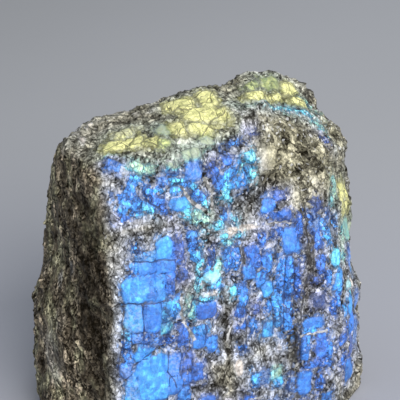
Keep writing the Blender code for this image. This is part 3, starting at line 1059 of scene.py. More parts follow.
@dataclass(frozen=True)
class Survey:
    """Works out where the coloured blocks, beds, cracks and swells lie on the smooth surface."""

    tree: BVHTree
    depth: float = 3.2
    bed_depth: float = 5.0
    bed_rim: float = 1.6
    squareness: float = 4.0
    warp: float = 0.5
    warp_size: float = 2.6
    bleed: float = 0.45
    calm_from: float = 0.7
    calm_over: float = 1.0
    seed: int = 11
    bark_side: BarkSide = field(default_factory=BarkSide)

    def fields(self, points: np.ndarray) -> dict[str, np.ndarray]:
        """What the finish and the carving have to know at each point.

        Args:
            points: the smooth surface's points, in millimetres, one to a row.

        Returns:
            One number for each point, by the name of the attribute that keeps them.
        """
        loose = self.warped(points)
        fields = self.blocks_at(loose) | self.beds_at(loose)
        for bed in (Bed.SOOT, Bed.PALE):
            fields |= self.lines_at(loose, bed)
        fields["swell"] = self.swell_at(points)
        return fields

    def warped(self, points: np.ndarray) -> np.ndarray:
        """The points, shifted a little so that no rim is a plain curve."""
        noise.seed_set(self.seed)
        shift = [noise.noise_vector(Vector(point) / self.warp_size) for point in points]
        return points + np.array(shift) * self.warp

    def meet(self, face: Face, first: float, second: float) -> tuple[np.ndarray, np.ndarray]:
        """Finds where a line into a face meets the surface.

        Args:
            face: the side that the line goes into.
            first: its measure along the face's first axis.
            second: its measure along the second one.

        Returns:
            The place, in millimetres, and the way out there.
        """
        start = face.outside(first, second) * MM
        place, normal, _, _ = self.tree.ray_cast(start, face.inward())
        if place is None:
            place, normal, _, _ = self.tree.find_nearest(start + face.inward() * NEAR_SIDE * MM)
        return np.array(place) / MM, np.array(normal)

    def site(self, face: Face, mark: Crystal | Patch, depth: float) -> Site:
        """Lays a crystal or a patch on the surface.

        Args:
            face: the side that the mark lies on.
            mark: the crystal or the patch.
            depth: its half size into the rock.

        Returns:
            The site.
        """
        place, outward = self.meet(face, mark.first, mark.second)
        normal = Vector(outward)
        across = face.upward().cross(normal).normalized()
        over = normal.cross(across)
        angle = math.radians(mark.turn)
        first = across * math.cos(angle) + over * math.sin(angle)
        second = over * math.cos(angle) - across * math.sin(angle)
        halves = np.array((mark.half_width, mark.half_height, depth))
        return Site(place, np.array((first, second, normal)), halves)

    def marks(self) -> list[tuple[Face, Crystal]]:
        """Lists every coloured block.

        Returns:
            The blocks, each with the face that it lies on.
        """
        marks = [(face, crystal) for face, crystals in CRYSTALS for crystal in crystals]
        chance = random.Random(self.seed)
        for clusters in CLUSTERS:
            marks += clusters.scatter(chance)
        return marks

    def blocks_at(self, points: np.ndarray) -> dict[str, np.ndarray]:
        """Works out the coloured blocks.

        Args:
            points: the places, in millimetres, one to a row.

        Returns:
            How far off the nearest block is and how much farther the next one, in millimetres, and the
            mean place on the colour scale, milkiness, glow and calm of the blocks close by.
        """
        nearest = np.full(len(points), FAR)
        second = np.full(len(points), FAR)
        total = np.full(len(points), 1e-9)
        sums = np.zeros((4, len(points)))
        for face, crystal in self.marks():
            small = min(crystal.half_width, crystal.half_height)
            distance = (self.site(face, crystal, self.depth).reach(points, self.squareness) - 1.0) * small
            second = np.minimum(second, np.maximum(distance, nearest))
            nearest = np.minimum(nearest, distance)
            weight = np.exp(-np.clip(distance, -1.0, 30.0) / self.bleed)
            total += weight
            calm = min(max((small - self.calm_from) / self.calm_over, 0.0), 1.0)
            sums += weight * np.array((*crystal.flash.value, crystal.glow, calm))[:, None]
        means = dict(zip(("hue", "milk", "glow", "calm"), sums / total))
        return {"border": nearest, "seam": second - nearest} | means

    def beds_at(self, points: np.ndarray) -> dict[str, np.ndarray]:
        """Works out the beds.

        Args:
            points: the places, in millimetres, one to a row.

        Returns:
            How strongly each kind of rock shows.
        """
        beds = {bed.value: np.zeros(len(points)) for bed in Bed}
        for face, patches in PATCHES:
            for patch in patches:
                reach = self.site(face, patch, self.bed_depth).reach(points, 2.0)
                share = np.clip(self.bed_rim - reach, 0.0, 1.0) * patch.strength
                beds[patch.bed.value] = np.maximum(beds[patch.bed.value], share)
        beds[Bed.BARK.value] = np.maximum(beds[Bed.BARK.value], self.bark_side.share(points))
        return beds

    def lines_at(self, points: np.ndarray, bed: Bed) -> dict[str, np.ndarray]:
        """Works out the dark cracks or the pale threads.

        Args:
            points: the places, in millimetres, one to a row.
            bed: the kind of rock that fills them.

        Returns:
            How far off the nearest one is, in millimetres, and on which side, in half widths.
        """
        away = np.full(len(points), FAR)
        side = np.full(len(points), FAR)
        for vein in (vein for vein in VEINS if vein.bed is bed):
            stops = [self.meet(Face.FRONT, *point) for point in vein.points]
            for (start, normal), (end, _) in zip(stops, stops[1:]):
                run = end - start
                share = np.clip((points - start) @ run / (run @ run), 0.0, 1.0)
                distance = np.linalg.norm(points - start - share[:, None] * run, axis=1)
                across = np.cross(normal, run)
                closer = distance < away
                away[closer] = distance[closer]
                side[closer] = (points[closer] - start) @ across / np.linalg.norm(across) / vein.half_width
        return {bed.value + "_away": away, bed.value + "_side": side}

    def swell_at(self, points: np.ndarray) -> np.ndarray:
        """How far the broad swells move the surface out.

        Args:
            points: the places, one a row.

        Returns:
            The move at each point, in millimetres.
        """
        moved = np.zeros(len(points))
        for swell in SWELLS:
            away = np.linalg.norm(points - np.array(swell.middle), axis=1) / swell.radius
            moved += swell.height * np.exp(-(away**2))
        return moved


@dataclass(frozen=True)
class Carving:
    """How far each kind of break moves the smooth surface out or in, in millimetres."""

    cleavage: Cleavage = field(default_factory=Cleavage)
    block_tilt: float = 0.9
    block_level: float = 0.5
    chip_tilt: float = 0.7
    chip_level: float = 0.36
    grit: float = 0.8
    grit_size: float = 2.6
    roll: float = 1.6
    roll_size: float = 9.0
    slab_tilt: float = 3.0
    slab_level: float = 1.6
    slabs_from: float = 6.0
    slabs_full: float = 12.0
    scale_tilt: float = 0.8
    scale_level: float = 0.5
    block_height: float = 0.35
    block_rim: tuple[float, float] = (0.5, -0.6)
    seam_depth: float = 0.25
    seam_width: tuple[float, float] = (0.8, 0.1)
    soot_depth: float = 0.6
    pale_height: float = 0.2
    bark_depth: float = 0.1
    foot: tuple[float, float] = (0.2, 2.5)
    sharp_angle: float = 32.0

    def carve(self, chunk: bpy.types.Object) -> None:
        """Moves the surface out and in to its blocks, chips, cracks and grains.

        Args:
            chunk: the smooth mesh, with its fields kept on it.
        """
        tree = bpy.data.node_groups.new("Carve", "GeometryNodeTree")
        for way in ("INPUT", "OUTPUT"):
            tree.interface.new_socket("Geometry", in_out=way, socket_type="NodeSocketGeometry")
        sheet = Sheet(tree)
        start = sheet.node("NodeGroupInput").outputs[0]
        normal = sheet.node("GeometryNodeInputNormal").outputs["Normal"]
        mover = sheet.node("GeometryNodeSetPosition")
        sheet.feed(mover.inputs["Geometry"], start)
        sheet.feed(mover.inputs["Offset"], sheet.lengthened(normal, sheet.product(self.height(sheet), MM)))
        sheet.feed(sheet.node("NodeGroupOutput").inputs[0], mover.outputs[0])
        carver = chunk.modifiers.new("Carve", "NODES")
        carver.node_group = tree
        select_only(chunk)
        bpy.ops.object.modifier_apply(modifier=carver.name)
        bpy.ops.object.shade_smooth_by_angle(angle=math.radians(self.sharp_angle))

    def height(self, sheet: Sheet) -> Socket:
        """The height of the broken surface over the smooth one.

        Args:
            sheet: the modifier's tree.

        Returns:
            The height, in millimetres.
        """
        place = sheet.stored("place", "FLOAT_VECTOR")
        _, back, up = sheet.parts(place)
        loose = self.cleavage.wavering(sheet, place)
        leaned = self.cleavage.leaned(sheet, loose)
        block, (block_level, _, _) = self.cleavage.facet(sheet, loose, self.cleavage.block)
        chip, (_, chip_level, _) = self.cleavage.facet(sheet, loose, self.cleavage.chip)
        slab, (_, _, slab_level) = self.cleavage.facet(sheet, loose, self.cleavage.slab)
        scale, (_, scale_level, _) = self.cleavage.facet(sheet, leaned, self.cleavage.scale)
        inside = sheet.step(sheet.stored("border"), *self.block_rim)
        rubble = sheet.less(inside)
        grit = sheet.level(place, self.grit_size, 3.0)
        roll = sheet.level(place, self.roll_size)
        slabs = sheet.swing(slab_level, self.slab_level)
        slabs = sheet.total(sheet.scaled(slab, self.slab_tilt), slabs)
        scales = sheet.swing(scale_level, self.scale_level)
        scales = sheet.total(sheet.scaled(scale, self.scale_tilt), scales)
        height = sheet.total(
            sheet.scaled(block, self.block_tilt),
            sheet.swing(block_level, self.block_level),
            sheet.product(sheet.scaled(chip, self.chip_tilt), sheet.scaled(rubble, 0.8, 0.25)),
            sheet.product(sheet.swing(chip_level, self.chip_level), sheet.scaled(rubble, 0.8, 0.15)),
            sheet.product(sheet.swing(grit, self.grit), sheet.scaled(rubble, 0.7, 0.2)),
            sheet.swing(roll, self.roll),
            sheet.scaled(inside, self.block_height),
            sheet.scaled(sheet.step(sheet.stored("seam"), *self.seam_width), -self.seam_depth),
            sheet.scaled(sheet.stored(Bed.SOOT.value), -self.soot_depth),
            sheet.scaled(sheet.stored(Bed.PALE.value), self.pale_height),
            sheet.scaled(sheet.stored(Bed.BARK.value), -self.bark_depth),
            sheet.stored("swell"),
            sheet.product(slabs, sheet.step(back, self.slabs_from, self.slabs_full)),
            sheet.product(scales, sheet.stored(Bed.FLAKE.value)),
        )
        return sheet.product(height, sheet.step(up, *self.foot))


@dataclass
class Chunk:
    """The stone: its mesh, with what its finish reads kept on it."""

    voxel: float = 0.64
    quick_voxel: float = 1.0
    smoothing: int = 16
    weld: float = 0.01
    unwrap_angle: float = 80.0
    unwrap_margin: float = 0.004
    carving: Carving = field(default_factory=Carving)

    def build(self) -> bpy.types.Object:
        """Makes the finished mesh from the fixed frame's solid.

        Returns:
            The chunk, which stands for the solid.
        """
        chunk = self.copy_of_solid()
        self.refine(chunk)
        self.unwrap(chunk)
        points = self.points_of(chunk)
        tree = BVHTree.FromObject(chunk, bpy.context.evaluated_depsgraph_get())
        self.store(chunk, points, Survey(tree).fields(points))
        self.carving.carve(chunk)
        return chunk

    def copy_of_solid(self) -> bpy.types.Object:
        """Copies the solid and joins its loose triangles.

        Returns:
            The copy, which is the only thing selected.
        """
        solid = bpy.data.objects[NODE]
        chunk = solid.copy()
        chunk.data = solid.data.copy()
        chunk.name = "stone"
        chunk.parent = None
        for key in list(chunk.keys()):
            del chunk[key]
        bpy.context.scene.collection.objects.link(chunk)
        select_only(chunk)
        bpy.ops.object.mode_set(mode="EDIT")
        bpy.ops.mesh.select_all(action="SELECT")
        bpy.ops.mesh.remove_doubles(threshold=self.weld * MM)
        bpy.ops.object.mode_set(mode="OBJECT")
        chunk.data.materials.clear()
        return chunk

    def refine(self, chunk: bpy.types.Object) -> None:
        """Lays an even, fine grid over the solid and rounds its facets off.

        Args:
            chunk: the copy of the solid.
        """
        grid = chunk.modifiers.new("Grid", "REMESH")
        grid.mode = "VOXEL"
        grid.voxel_size = self.voxel * MM
        bpy.ops.object.modifier_apply(modifier=grid.name)
        ease = chunk.modifiers.new("Ease", "SMOOTH")
        ease.factor = 0.5
        ease.iterations = self.smoothing
        bpy.ops.object.modifier_apply(modifier=ease.name)

    def unwrap(self, chunk: bpy.types.Object) -> None:
        """Lays the smooth surface out flat, before the breaks are carved.

        Args:
            chunk: the smooth mesh.
        """
        chunk.data.uv_layers.active = chunk.data.uv_layers.new(name="OFBake")
        bpy.ops.object.mode_set(mode="EDIT")
        bpy.ops.mesh.select_all(action="SELECT")
        angle = math.radians(self.unwrap_angle)
        bpy.ops.uv.smart_project(angle_limit=angle, island_margin=self.unwrap_margin)
        bpy.ops.object.mode_set(mode="OBJECT")

    def points_of(self, chunk: bpy.types.Object) -> np.ndarray:
        """The mesh's points, in millimetres, one to a row."""
        flat = np.empty(len(chunk.data.vertices) * 3)
        chunk.data.vertices.foreach_get("co", flat)
        return flat.reshape(-1, 3) / MM

    def store(self, chunk: bpy.types.Object, points: np.ndarray, fields: dict[str, np.ndarray]) -> None:
        """Keeps the smooth surface's places and fields on the mesh.

        Args:
            chunk: the smooth mesh.
            points: its points, in millimetres.
            fields: one number for each point, by the attribute's name.
        """
        place = chunk.data.attributes.new("place", "FLOAT_VECTOR", "POINT")
        place.data.foreach_set("vector", points.ravel().astype(np.float32))
        for name, values in fields.items():
            kept = chunk.data.attributes.new(name, "FLOAT", "POINT")
            kept.data.foreach_set("value", values.astype(np.float32))


@dataclass(frozen=True)
class Reading:
    """What the finish reads at a point of the stone: places, and the fields kept on the mesh."""

    place: Socket
    loose: Socket
    shaken: Socket
    border: Socket
    seam: Socket
    hue: Socket
    milk: Socket
    glow: Socket
    calm: Socket
    pale: Socket
    soot: Socket
    bark: Socket
    flake: Socket

    @classmethod
    def of(cls, sheet: Sheet, cleavage: Cleavage) -> "Reading":
        """Reads the mesh's attributes.

        Args:
            sheet: the material's tree.
            cleavage: the blocks that the feldspar breaks into.

        Returns:
            The smooth surface's place, the same made wavering for the blocks and shaken for small
            grains, and the fields.
        """
        place = sheet.attribute("place", "Vector")
        names = ("border", "seam", "hue", "milk", "glow", "calm", *(bed.value for bed in Bed))
        fields = {name: sheet.attribute(name) for name in names}
        return cls(place, cleavage.wavering(sheet, place), cleavage.shaken(sheet, place), **fields)


@dataclass(frozen=True)
class Rock:
    """The rock between the coloured blocks: open, flaky or fibrous, and crushed or dark in places."""

    cleavage: Cleavage = field(default_factory=Cleavage)
    tones: Stops = (
        (0.00, (0.012, 0.011, 0.009)),
        (0.20, (0.045, 0.042, 0.038)),
        (0.40, (0.120, 0.118, 0.110)),
        (0.60, (0.260, 0.258, 0.245)),
        (0.80, (0.50, 0.495, 0.480)),
        (1.00, (0.85, 0.84, 0.82)),
    )
    stain: Stops = (
        (0.00, (0.86, 0.90, 1.26)),
        (0.55, (0.80, 0.93, 1.20)),
        (0.75, (0.90, 1.08, 1.00)),
        (1.00, (1.00, 1.03, 0.84)),
    )
    open_tints: tuple[Colour, Colour] = ((1.0, 0.94, 0.76), (1.0, 0.98, 0.86))
    bark_tints: tuple[Colour, Colour] = ((1.04, 0.86, 0.62), (0.98, 0.92, 0.60))
    flaky_bark_tint: Colour = (1.0, 0.93, 0.60)
    flaky_tint: Colour = (1.0, 0.94, 0.67)
    bleached_tint: Colour = (1.0, 0.985, 0.94)
    crushed_tint: Colour = (1.06, 0.97, 0.91)
    open_tone: float = 0.50
    flaky_tone: float = 0.495
    bark_tone: float = 0.30
    cloud_size: float = 3.4
    tint_size: float = 6.0
    speck: Size = (0.45, 0.45, 0.6)
    shard: Size = (0.75, 0.75, 1.9)
    shard_turns: tuple[float, float] = (38.0, -30.0)
    shard_spots: float = 3.6
    splinter: Size = (0.8, 0.8, 2.4)
    low_splinter: Size = (1.1, 1.1, 3.6)
    low_turn: float = 38.0
    low_part: tuple[float, float] = (46.0, 34.0)
    fibre: Size = (0.6, 0.6, 3.0)
    bark_broad: Size = (6.0, 6.0, 10.0)
    bark_spots: Size = (3.4, 3.4, 7.0)
    gap: tuple[float, float] = (0.08, 0.02)

    def colour(self, sheet: Sheet, read: Reading, near: Socket, chance: Socket) -> tuple[Socket, Socket]:
        """The rock's colour.

        Args:
            sheet: the material's tree.
            read: what it reads.
            near: 1 at the coloured blocks, 0 well away from them.
            chance: a number of its own for each chip.

        Returns:
            The colour, and its tone from 0 to 1.
        """
        cloud = sheet.level(read.place, self.cloud_size, 9.0, 0.7)
        speck, glint, _ = sheet.chances(read.shaken, self.speck)
        grains = (cloud, self.shards(sheet, read), speck)
        busy = sheet.less(sheet.step(read.pale, 0.75, 1.05), 0.5)
        open_stir = self.open_stir(sheet, read, grains, glint)
        open_tone = sheet.total(self.open_tone, sheet.product(open_stir, busy), sheet.swing(chance, 0.30))
        flaky_stir = self.flaky_stir(sheet, read, grains)
        flaky_tone = sheet.total(self.flaky_tone, sheet.product(flaky_stir, busy))
        bark_tone, broad = self.fibrous(sheet, read, cloud, speck)
        bark_tone = sheet.total(bark_tone, sheet.scaled(read.flake, 0.14))
        tone = sheet.blend(read.bark, sheet.blend(read.flake, open_tone, flaky_tone), bark_tone)
        crushed = sheet.product(sheet.step(read.pale, 0.85, 1.15), sheet.less(read.flake))
        tone = sheet.total(
            tone,
            sheet.scaled(read.pale, 0.21),
            sheet.scaled(read.soot, -0.26),
            sheet.scaled(near, 0.05),
            sheet.scaled(crushed, 0.10),
        )
        tint = self.tint(sheet, read, near, broad)
        tint = sheet.mix(crushed, tint, self.crushed_tint)
        return sheet.mix(1.0, sheet.ramp(tone, self.tones), tint, "MULTIPLY"), tone

    def open_stir(self, sheet: Sheet, read: Reading, grains: tuple, glint: Socket) -> Socket:
        """How the tone of open rock varies.

        Args:
            sheet: the material's tree.
            read: what it reads.
            grains: a rough noise, and the levels of the angular grains and of the fine ones.
            glint: another number for each fine grain, which picks the grains lightened as painted glints.

        Returns:
            What is added to the tone.
        """
        cloud, shard, speck = grains
        crack = sheet.step(self.cleavage.border(sheet, read.loose, self.cleavage.chip), *self.gap)
        return sheet.total(
            sheet.swing(cloud, 1.1),
            sheet.swing(shard, 0.42),
            sheet.swing(speck, 0.38),
            # The few grains whose number passes 0.93 are lightened: painted glints.
            sheet.scaled(sheet.step(glint, 0.93, 0.95), 0.2),
            sheet.scaled(crack, -0.2),
        )

    def flaky_stir(self, sheet: Sheet, read: Reading, grains: tuple) -> Socket:
        """How the tone of flaky rock varies.

        Args:
            sheet: the material's tree.
            read: what it reads.
            grains: a rough noise, and the levels of the angular grains and of the fine ones.

        Returns:
            What is added to the tone.
        """
        cloud, shard, speck = grains
        leaned = self.cleavage.leaned(sheet, read.shaken)
        level, glint, _ = sheet.chances(leaned, self.cleavage.scale)
        gap = sheet.step(self.cleavage.border(sheet, leaned, self.cleavage.scale), *self.gap)
        return sheet.total(
            sheet.swing(cloud, 1.0),
            sheet.swing(level, 0.40),
            # Scales whose number passes 0.76 are lightened a little: painted glints.
            sheet.scaled(sheet.step(glint, 0.76, 0.80), 0.14),
            sheet.swing(shard, 0.34),
            sheet.swing(speck, 0.44),
            sheet.scaled(gap, -0.14),
        )

    def fibrous(self, sheet: Sheet, read: Reading, cloud: Socket, speck: Socket) -> tuple[Socket, Socket]:
        """The tone of the fibrous rock on the dark left side, with splinters that lie aslant low down.

        Args:
            sheet: the material's tree.
            read: what it reads.
            cloud: a rough noise.
            speck: a level for each fine grain.

        Returns:
            The tone, and a broad noise that tells brown rock from olive rock.
        """
        broad = sheet.level(read.place, self.bark_broad, 4.0, 0.55)
        low = sheet.step(sheet.parts(read.place)[2], *self.low_part)
        upright = sheet.chances(read.shaken, self.splinter)
        aslant = sheet.chances(sheet.turned(read.shaken, "X_AXIS", self.low_turn), self.low_splinter)
        splinter, glint = (sheet.blend(low, upright[place], aslant[place]) for place in (0, 1))
        fibre = sheet.level(read.place, self.fibre, 4.0, 0.6)
        vivid = sheet.step(sheet.level(read.place, self.bark_spots, 3.0), 0.36, 0.58)
        vivid = sheet.product(sheet.scaled(vivid, 0.75, 0.25), sheet.less(read.soot, 0.7))
        lively = sheet.total(
            sheet.scaled(splinter, 0.36, -0.17),
            # Splinters whose number passes 0.8 are lightened: painted glints.
            sheet.scaled(sheet.step(glint, 0.80, 0.84), 0.34),
            sheet.swing(fibre, 1.3),
            sheet.scaled(speck, 0.62, -0.28),
        )
        tone = sheet.total(
            self.bark_tone,
            sheet.swing(broad, 0.9),
            sheet.swing(cloud, 1.3),
            sheet.swing(speck, 0.14),
            sheet.product(lively, vivid),
        )
        return tone, broad

    def shards(self, sheet: Sheet, read: Reading) -> Socket:
        """A level for each angular grain, which lies one way in some spots and another way in others.

        Args:
            sheet: the material's tree.
            read: what it reads.

        Returns:
            The level, from 0 to 1.
        """
        turned = [sheet.turned(read.shaken, "Y_AXIS", turn) for turn in self.shard_turns]
        levels = [sheet.chances(place, self.shard)[0] for place in turned]
        spots = sheet.step(sheet.level(read.shaken, self.shard_spots, 1.0), 0.47, 0.53)
        return sheet.blend(spots, *levels)

    def tint(self, sheet: Sheet, read: Reading, near: Socket, broad: Socket) -> Socket:
        """What the grey tone is multiplied by.

        Args:
            sheet: the material's tree.
            read: what it reads.
            near: 1 at the coloured blocks, 0 well away from them.
            broad: a noise that tells brown rock from olive rock.

        Returns:
            The tint, of all but crushed rock.
        """
        spots = sheet.step(sheet.level(read.place, self.tint_size, 3.0), 0.4, 0.6)
        plain = sheet.mix(read.flake, sheet.mix(spots, *self.open_tints), self.flaky_tint)
        brown = sheet.mix(sheet.step(broad, 0.48, 0.60), *self.bark_tints)
        tint = sheet.mix(read.bark, plain, sheet.mix(read.flake, brown, self.flaky_bark_tint))
        bleached = sheet.product(sheet.step(read.pale, 0.3, 0.9), sheet.less(read.flake))
        tint = sheet.mix(bleached, tint, self.bleached_tint)
        beside = sheet.product(near, sheet.less(sheet.most(read.bark, read.flake), 0.8))
        return sheet.mix(beside, tint, sheet.ramp(read.hue, self.stain))


@dataclass(frozen=True)
class Play:
    """The colours that the blocks play in, and the milky haze over them."""

    cleavage: Cleavage = field(default_factory=Cleavage)
    scale: Stops = (
        (0.00, (0.110, 0.165, 0.460)),
        (0.18, (0.048, 0.165, 0.640)),
        (0.34, (0.054, 0.235, 0.750)),
        (0.48, (0.066, 0.318, 0.800)),
        (0.62, (0.130, 0.620, 0.860)),
        (0.74, (0.330, 0.680, 0.600)),
        (0.84, (0.340, 0.430, 0.200)),
        (0.93, (0.660, 0.680, 0.250)),
        (1.00, (0.880, 0.850, 0.380)),
    )
    veil: Stops = (
        (0.00, (0.50, 0.58, 0.88)),
        (0.50, (0.50, 0.68, 0.88)),
        (0.66, (0.66, 0.92, 0.88)),
        (0.76, (0.50, 0.58, 0.50)),
        (0.90, (0.62, 0.62, 0.44)),
        (1.00, (0.92, 0.90, 0.66)),
    )
    steady_hues: tuple[float, float] = (0.72, 0.80)
    cloud_size: float = 2.4
    wisp_size: float = 0.8
    flake: Size = (0.8, 0.8, 1.2)
    striae: Size = (0.55, 0.55, 5.0)
    brightness: float = 0.52
    least_brightness: float = 0.1

    def colour(self, sheet: Sheet, read: Reading, quiet: Socket, chance: Socket) -> Socket:
        """The colour that a block plays in.

        Args:
            sheet: the material's tree.
            read: what it reads.
            quiet: how even the block is inside, from 0 to 1.
            chance: a number of its own for each chip.

        Returns:
            The colour.
        """
        cloud = sheet.level(read.place, self.cloud_size, 3.0, 0.6)
        wisp = sheet.level(read.place, self.wisp_size, 4.0, 0.7)
        striae = sheet.level(read.place, self.striae)
        flake, glint, _ = sheet.chances(read.shaken, self.flake)
        sliver = sheet.step(self.cleavage.border(sheet, read.shaken, self.flake), 0.13, 0.03)
        drift = sheet.total(sheet.swing(cloud, 0.24), sheet.swing(flake, 0.14))
        drift = sheet.product(drift, sheet.less(sheet.step(read.hue, *self.steady_hues), 0.65))
        colour = sheet.ramp(sheet.total(read.hue, drift), self.scale)
        fine = sheet.total(
            sheet.swing(wisp, 1.4),
            sheet.swing(flake, 1.1),
            # Flakes whose number passes 0.8 flash brighter: painted glints, strongest on uneven blocks.
            sheet.scaled(sheet.step(glint, 0.80, 0.84), 0.6),
            sheet.scaled(sliver, -0.6),
        )
        strength = sheet.total(
            self.brightness,
            sheet.scaled(cloud, 0.5),
            sheet.scaled(chance, 0.32),
            sheet.scaled(striae, 0.4),
            sheet.product(fine, sheet.scaled(quiet, -1.4, 1.65)),
        )
        strength = sheet.product(read.glow, sheet.most(strength, self.least_brightness))
        haze = sheet.product(sheet.step(wisp, 0.35, 0.7), sheet.scaled(read.milk, 0.75, 0.12))
        solid = sheet.scaled(sheet.step(read.milk, 0.65, 0.8), 0.5)
        haze = sheet.most(haze, sheet.total(solid, sheet.scaled(haze, 0.4)))
        return sheet.mix(haze, sheet.lengthened(colour, strength), sheet.ramp(read.hue, self.veil))


@dataclass(frozen=True)
class StoneFinish:
    """The stone's finish: coloured blocks and the rock between them, with cracks through both."""

    cleavage: Cleavage = field(default_factory=Cleavage)
    rock: Rock = field(default_factory=Rock)
    play: Play = field(default_factory=Play)
    block_shades: tuple[Colour, Colour] = ((0.025, 0.04, 0.13), (0.10, 0.095, 0.05))
    crack_inks: tuple[Colour, Colour] = ((0.045, 0.043, 0.044), (0.03, 0.055, 0.16))
    # the near-white of the painted glints, some of which also stand for pale grains
    painted_glint_and_grain_tint: Colour = (0.84, 0.85, 0.86)
    crumb: Size = (0.9, 0.9, 1.1)
    # the cells that the painted glints are drawn from
    painted_glint_and_grain: Size = (0.5, 0.5, 0.6)
    ragged_size: float = 1.1
    gap_size: float = 2.2
    beside: tuple[float, float] = (4.4, 0.2)
    close: tuple[float, float] = (1.8, 0.3)
    deep_inside: tuple[float, float] = (0.1, -1.1)
    grown: float = 0.3
    seam_line: tuple[float, float] = (0.35, 0.08)
    block_line: tuple[float, float] = (0.040, 0.012)
    chip_line: tuple[float, float] = (0.06, 0.015)
    rim_line: tuple[float, float, float] = (-0.45, 0.0, 0.5)
    vein_rim: tuple[float, float] = (1.4, 0.7)
    vein_reach: tuple[float, float] = (1.1, 0.7)
    yellow_from: tuple[float, float] = (0.8, 0.94)
    bump_strength: float = 0.6
    bump_height: float = 0.25

    def build(self) -> bpy.types.Material:
        """Makes the material.

        Returns:
            The material.
        """
        material = bpy.data.materials.new("labradorite rough")
        material.use_nodes = True
        material.node_tree.nodes.clear()
        sheet = Sheet(material.node_tree)
        read = Reading.of(sheet, self.cleavage)
        chip, chances = self.cleavage.facet(sheet, read.loose, self.cleavage.chip)
        near = sheet.step(read.border, *self.beside)
        rock, tone = self.rock.colour(sheet, read, near, chances[2])
        ragged = sheet.level(read.place, self.ragged_size, 4.0, 0.6)
        crumbs = sheet.chances(read.place, self.crumb)
        soft = sheet.step(read.hue, *self.yellow_from)
        distance, shown = self.outline(sheet, read, (ragged, *crumbs), soft)
        deep = sheet.scaled(sheet.step(read.border, *self.deep_inside), 0.6)
        quiet = sheet.most(read.calm, deep, sheet.scaled(soft, 0.75))
        flash = self.play.colour(sheet, read, quiet, chances[0])
        line = self.lines(sheet, read, distance, soft)
        flash = sheet.mix(sheet.scaled(line, 0.78), flash, sheet.mix(soft, *self.block_shades))
        colour = sheet.mix(shown, rock, flash)
        crack, thread = (self.vein(sheet, bed, ragged) for bed in (Bed.SOOT, Bed.PALE))
        colour = sheet.mix(sheet.scaled(crack, 0.8), colour, sheet.mix(shown, *self.crack_inks))
        pebble = sheet.ramp(sheet.scaled(crumbs[0], 0.6, 0.35), self.rock.tones)
        colour = sheet.mix(sheet.scaled(thread, 0.9), colour, pebble)
        # Painted glints: a few tiny specks are mixed towards near-white. They stand in for light caught by
        # tiny facets, and some also stand for pale grains. Even blocks, fibrous rock and yellow blocks get
        # none.
        painted_glint_and_grain = sheet.step(sheet.chances(read.place, self.painted_glint_and_grain)[2], 0.94, 0.955)
        painted_glint_and_grain = sheet.product(painted_glint_and_grain, sheet.less(quiet), sheet.less(sheet.most(read.bark, soft)))
        colour = sheet.mix(sheet.scaled(painted_glint_and_grain, 0.5), colour, self.painted_glint_and_grain_tint)

        shader = sheet.node("ShaderNodeBsdfPrincipled")
        sheet.feed(shader.inputs["Base Color"], colour)
        roughness = sheet.blend(shown, sheet.scaled(tone, 0.2, 0.45), sheet.scaled(ragged, 0.2, 0.28))
        sheet.feed(shader.inputs["Roughness"], roughness)
        gloss = sheet.blend(shown, sheet.scaled(tone, 0.4, 0.05), 0.4)
        sheet.feed(shader.inputs["Specular IOR Level"], gloss)
        bump = sheet.node("ShaderNodeBump")
        bump.inputs["Strength"].default_value = self.bump_strength
        bump.inputs["Distance"].default_value = self.bump_height * MM
        height = sheet.total(tone, sheet.scaled(chip, 0.9), sheet.scaled(line, -0.6))
        sheet.feed(bump.inputs["Height"], height)
        sheet.feed(shader.inputs["Normal"], bump.outputs[0])
        sheet.feed(sheet.node("ShaderNodeOutputMaterial").inputs["Surface"], shader.outputs[0])
        return material

    def outline(self, sheet: Sheet, read: Reading, grains: tuple, soft: Socket) -> tuple[Socket, Socket]:
        """The ragged outline of the coloured blocks.

        Args:
            sheet: the material's tree.
            read: what it reads.
            grains: a fine noise, and three numbers for each crumb.
            soft: 1 where a block is yellow, which has no sharp outline.

        Returns:
            The distance past the outline, in millimetres, and 1 where a block shows.
        """
        ragged, level, strays, gaps = grains
        jag = sheet.total(sheet.swing(ragged, 1.5), sheet.swing(level, 0.5))
        jag = sheet.product(jag, sheet.less(read.calm, 0.6))
        distance = sheet.total(read.border, jag, -self.grown)
        width = sheet.scaled(soft, 1.3, 0.3)
        inside = sheet.math("SUBTRACT", 0.5, sheet.math("DIVIDE", distance, width), clamp=True)
        stray = sheet.product(sheet.step(read.border, *self.close), sheet.step(strays, 0.54, 0.60))
        whole = sheet.most(sheet.step(gaps, 0.98, 0.965), read.calm)
        return distance, sheet.product(sheet.most(inside, sheet.scaled(stray, 0.5)), whole)

    def lines(self, sheet: Sheet, read: Reading, distance: Socket, soft: Socket) -> Socket:
        """The dark lines on the coloured blocks: between blocks and chips, and along the outline.

        Args:
            sheet: the material's tree.
            read: what it reads.
            distance: the distance past the ragged outline, in millimetres.
            soft: 1 where a block is yellow.

        Returns:
            How dark the line is, from 0 to 1.
        """
        block_edge = self.cleavage.border(sheet, read.loose, self.cleavage.block)
        chip_edge = self.cleavage.border(sheet, read.loose, self.cleavage.chip)
        broken = sheet.less(sheet.product(read.calm, sheet.less(soft)))
        gap = sheet.level(read.place, self.gap_size, 1.0)
        blue_gap = sheet.step(gap, 0.46, 0.58)
        yellow_gap = sheet.scaled(sheet.step(gap, 0.44, 0.56), 0.6, 0.2)
        fissured = sheet.product(sheet.blend(soft, blue_gap, yellow_gap), broken)
        return sheet.most(
            sheet.product(sheet.step(block_edge, *self.block_line), broken),
            sheet.product(sheet.step(chip_edge, *self.chip_line), fissured),
            sheet.step(read.seam, *self.seam_line),
            sheet.scaled(sheet.band(distance, *self.rim_line), 0.7),
        )

